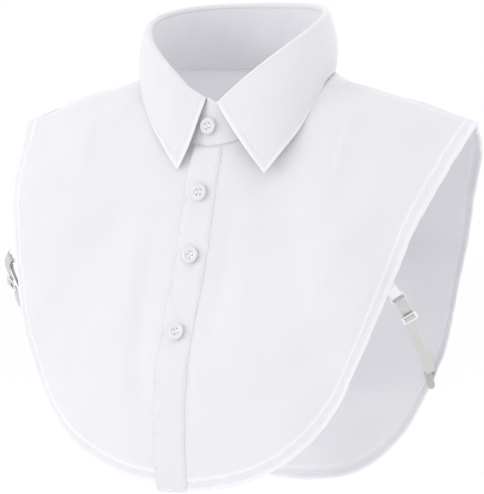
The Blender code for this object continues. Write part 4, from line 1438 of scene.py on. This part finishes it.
def looking(place, target):
    """Placement at a point, looking at another."""
    back = (place - target).normalized()
    right = Vector((0.0, 0.0, 1.0)).cross(back).normalized()
    turn = Matrix((right, back.cross(right), back)).transposed().to_4x4()
    return Matrix.Translation(place) @ turn


def hem_rows(panel_form, count):
    """A hem's stitch row on the outside and on the inside."""
    u = np.linspace(0.004, 0.996, count)
    return [panel_form.row(u, HEM_STITCH, WALL - 0.00020),
            panel_form.row(u, HEM_STITCH, WALL - CLOTH - HEM_THICK + 0.00024)]


def main():
    """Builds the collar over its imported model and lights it."""
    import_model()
    cotton, thread = cotton_cloth(), cotton_thread()
    pearl, ribbed, silver = button_pearl(), ribbed_elastic(), plated_metal()
    tree, sockets = stitch_tree(thread)

    left = Panel(*front_form(1), CREASES_FRONT, 1)
    right = Panel(*front_form(-1), CREASES_FRONT, 4)
    back = Panel(back_surface, back_chart, CREASES_BACK, 7, seams=2)
    panel_piece("left_front", left, 120, 90, "front_left", cotton)
    panel_piece("right_front", right, 120, 90, "front_right", cotton)
    panel_piece("back_panel", back, 200, 90, "back", cotton)
    placket_piece(cotton)
    stand_piece(cotton)
    fall_piece(cotton)
    add_buttons(pearl, thread)
    for side, label, rows in ((1, "left", STRAP_LEFT), (-1, "right", STRAP_RIGHT)):
        strap = Strap(side, rows)
        tab_piece(strap, label, cotton)
        ring_piece(strap, label, silver)
        elastic_piece(strap, label, ribbed)
        slider_piece(strap, label, silver)

    rows = hem_rows(left, 700) + hem_rows(right, 700) + hem_rows(back, 900)
    v = np.linspace(0.01, 0.965, 400)
    for panel_form in (left, right):
        inside = 1.0 - SHOULDER_STITCH / (front_spread(v) + FRONT_LAP)
        rows.append(panel_form.line(inside, v, WALL - 0.00012))
    stitch_piece("hem_stitches", rows, tree, sockets, thread, 11)
    v = np.linspace(0.006, 0.995, 500)
    share = PLACKET_STITCH / PLACKET_WIDTH
    rows = [placket_surface(np.full_like(v, u), v, LAYER + PLACKET_RISE - 0.00006)
            for u in (share, 1 - share)]
    stitch_piece("placket_stitches", rows, tree, sockets, thread, 12)
    angle = np.linspace(-STAND_LAP + 0.02, 2 * math.pi + STAND_LAP - 0.02, 900)
    rows = [stand_surface(angle, np.full_like(angle, STAND_STITCH), np.full_like(angle, lift))
            for lift in (WALL + 0.00025, 0.00005)]
    stitch_piece("stand_stitches", rows, tree, sockets, thread, 13)
    stitch_piece("fall_stitches", fall_rows(), tree, sockets, thread, 14)

    studio()


main()
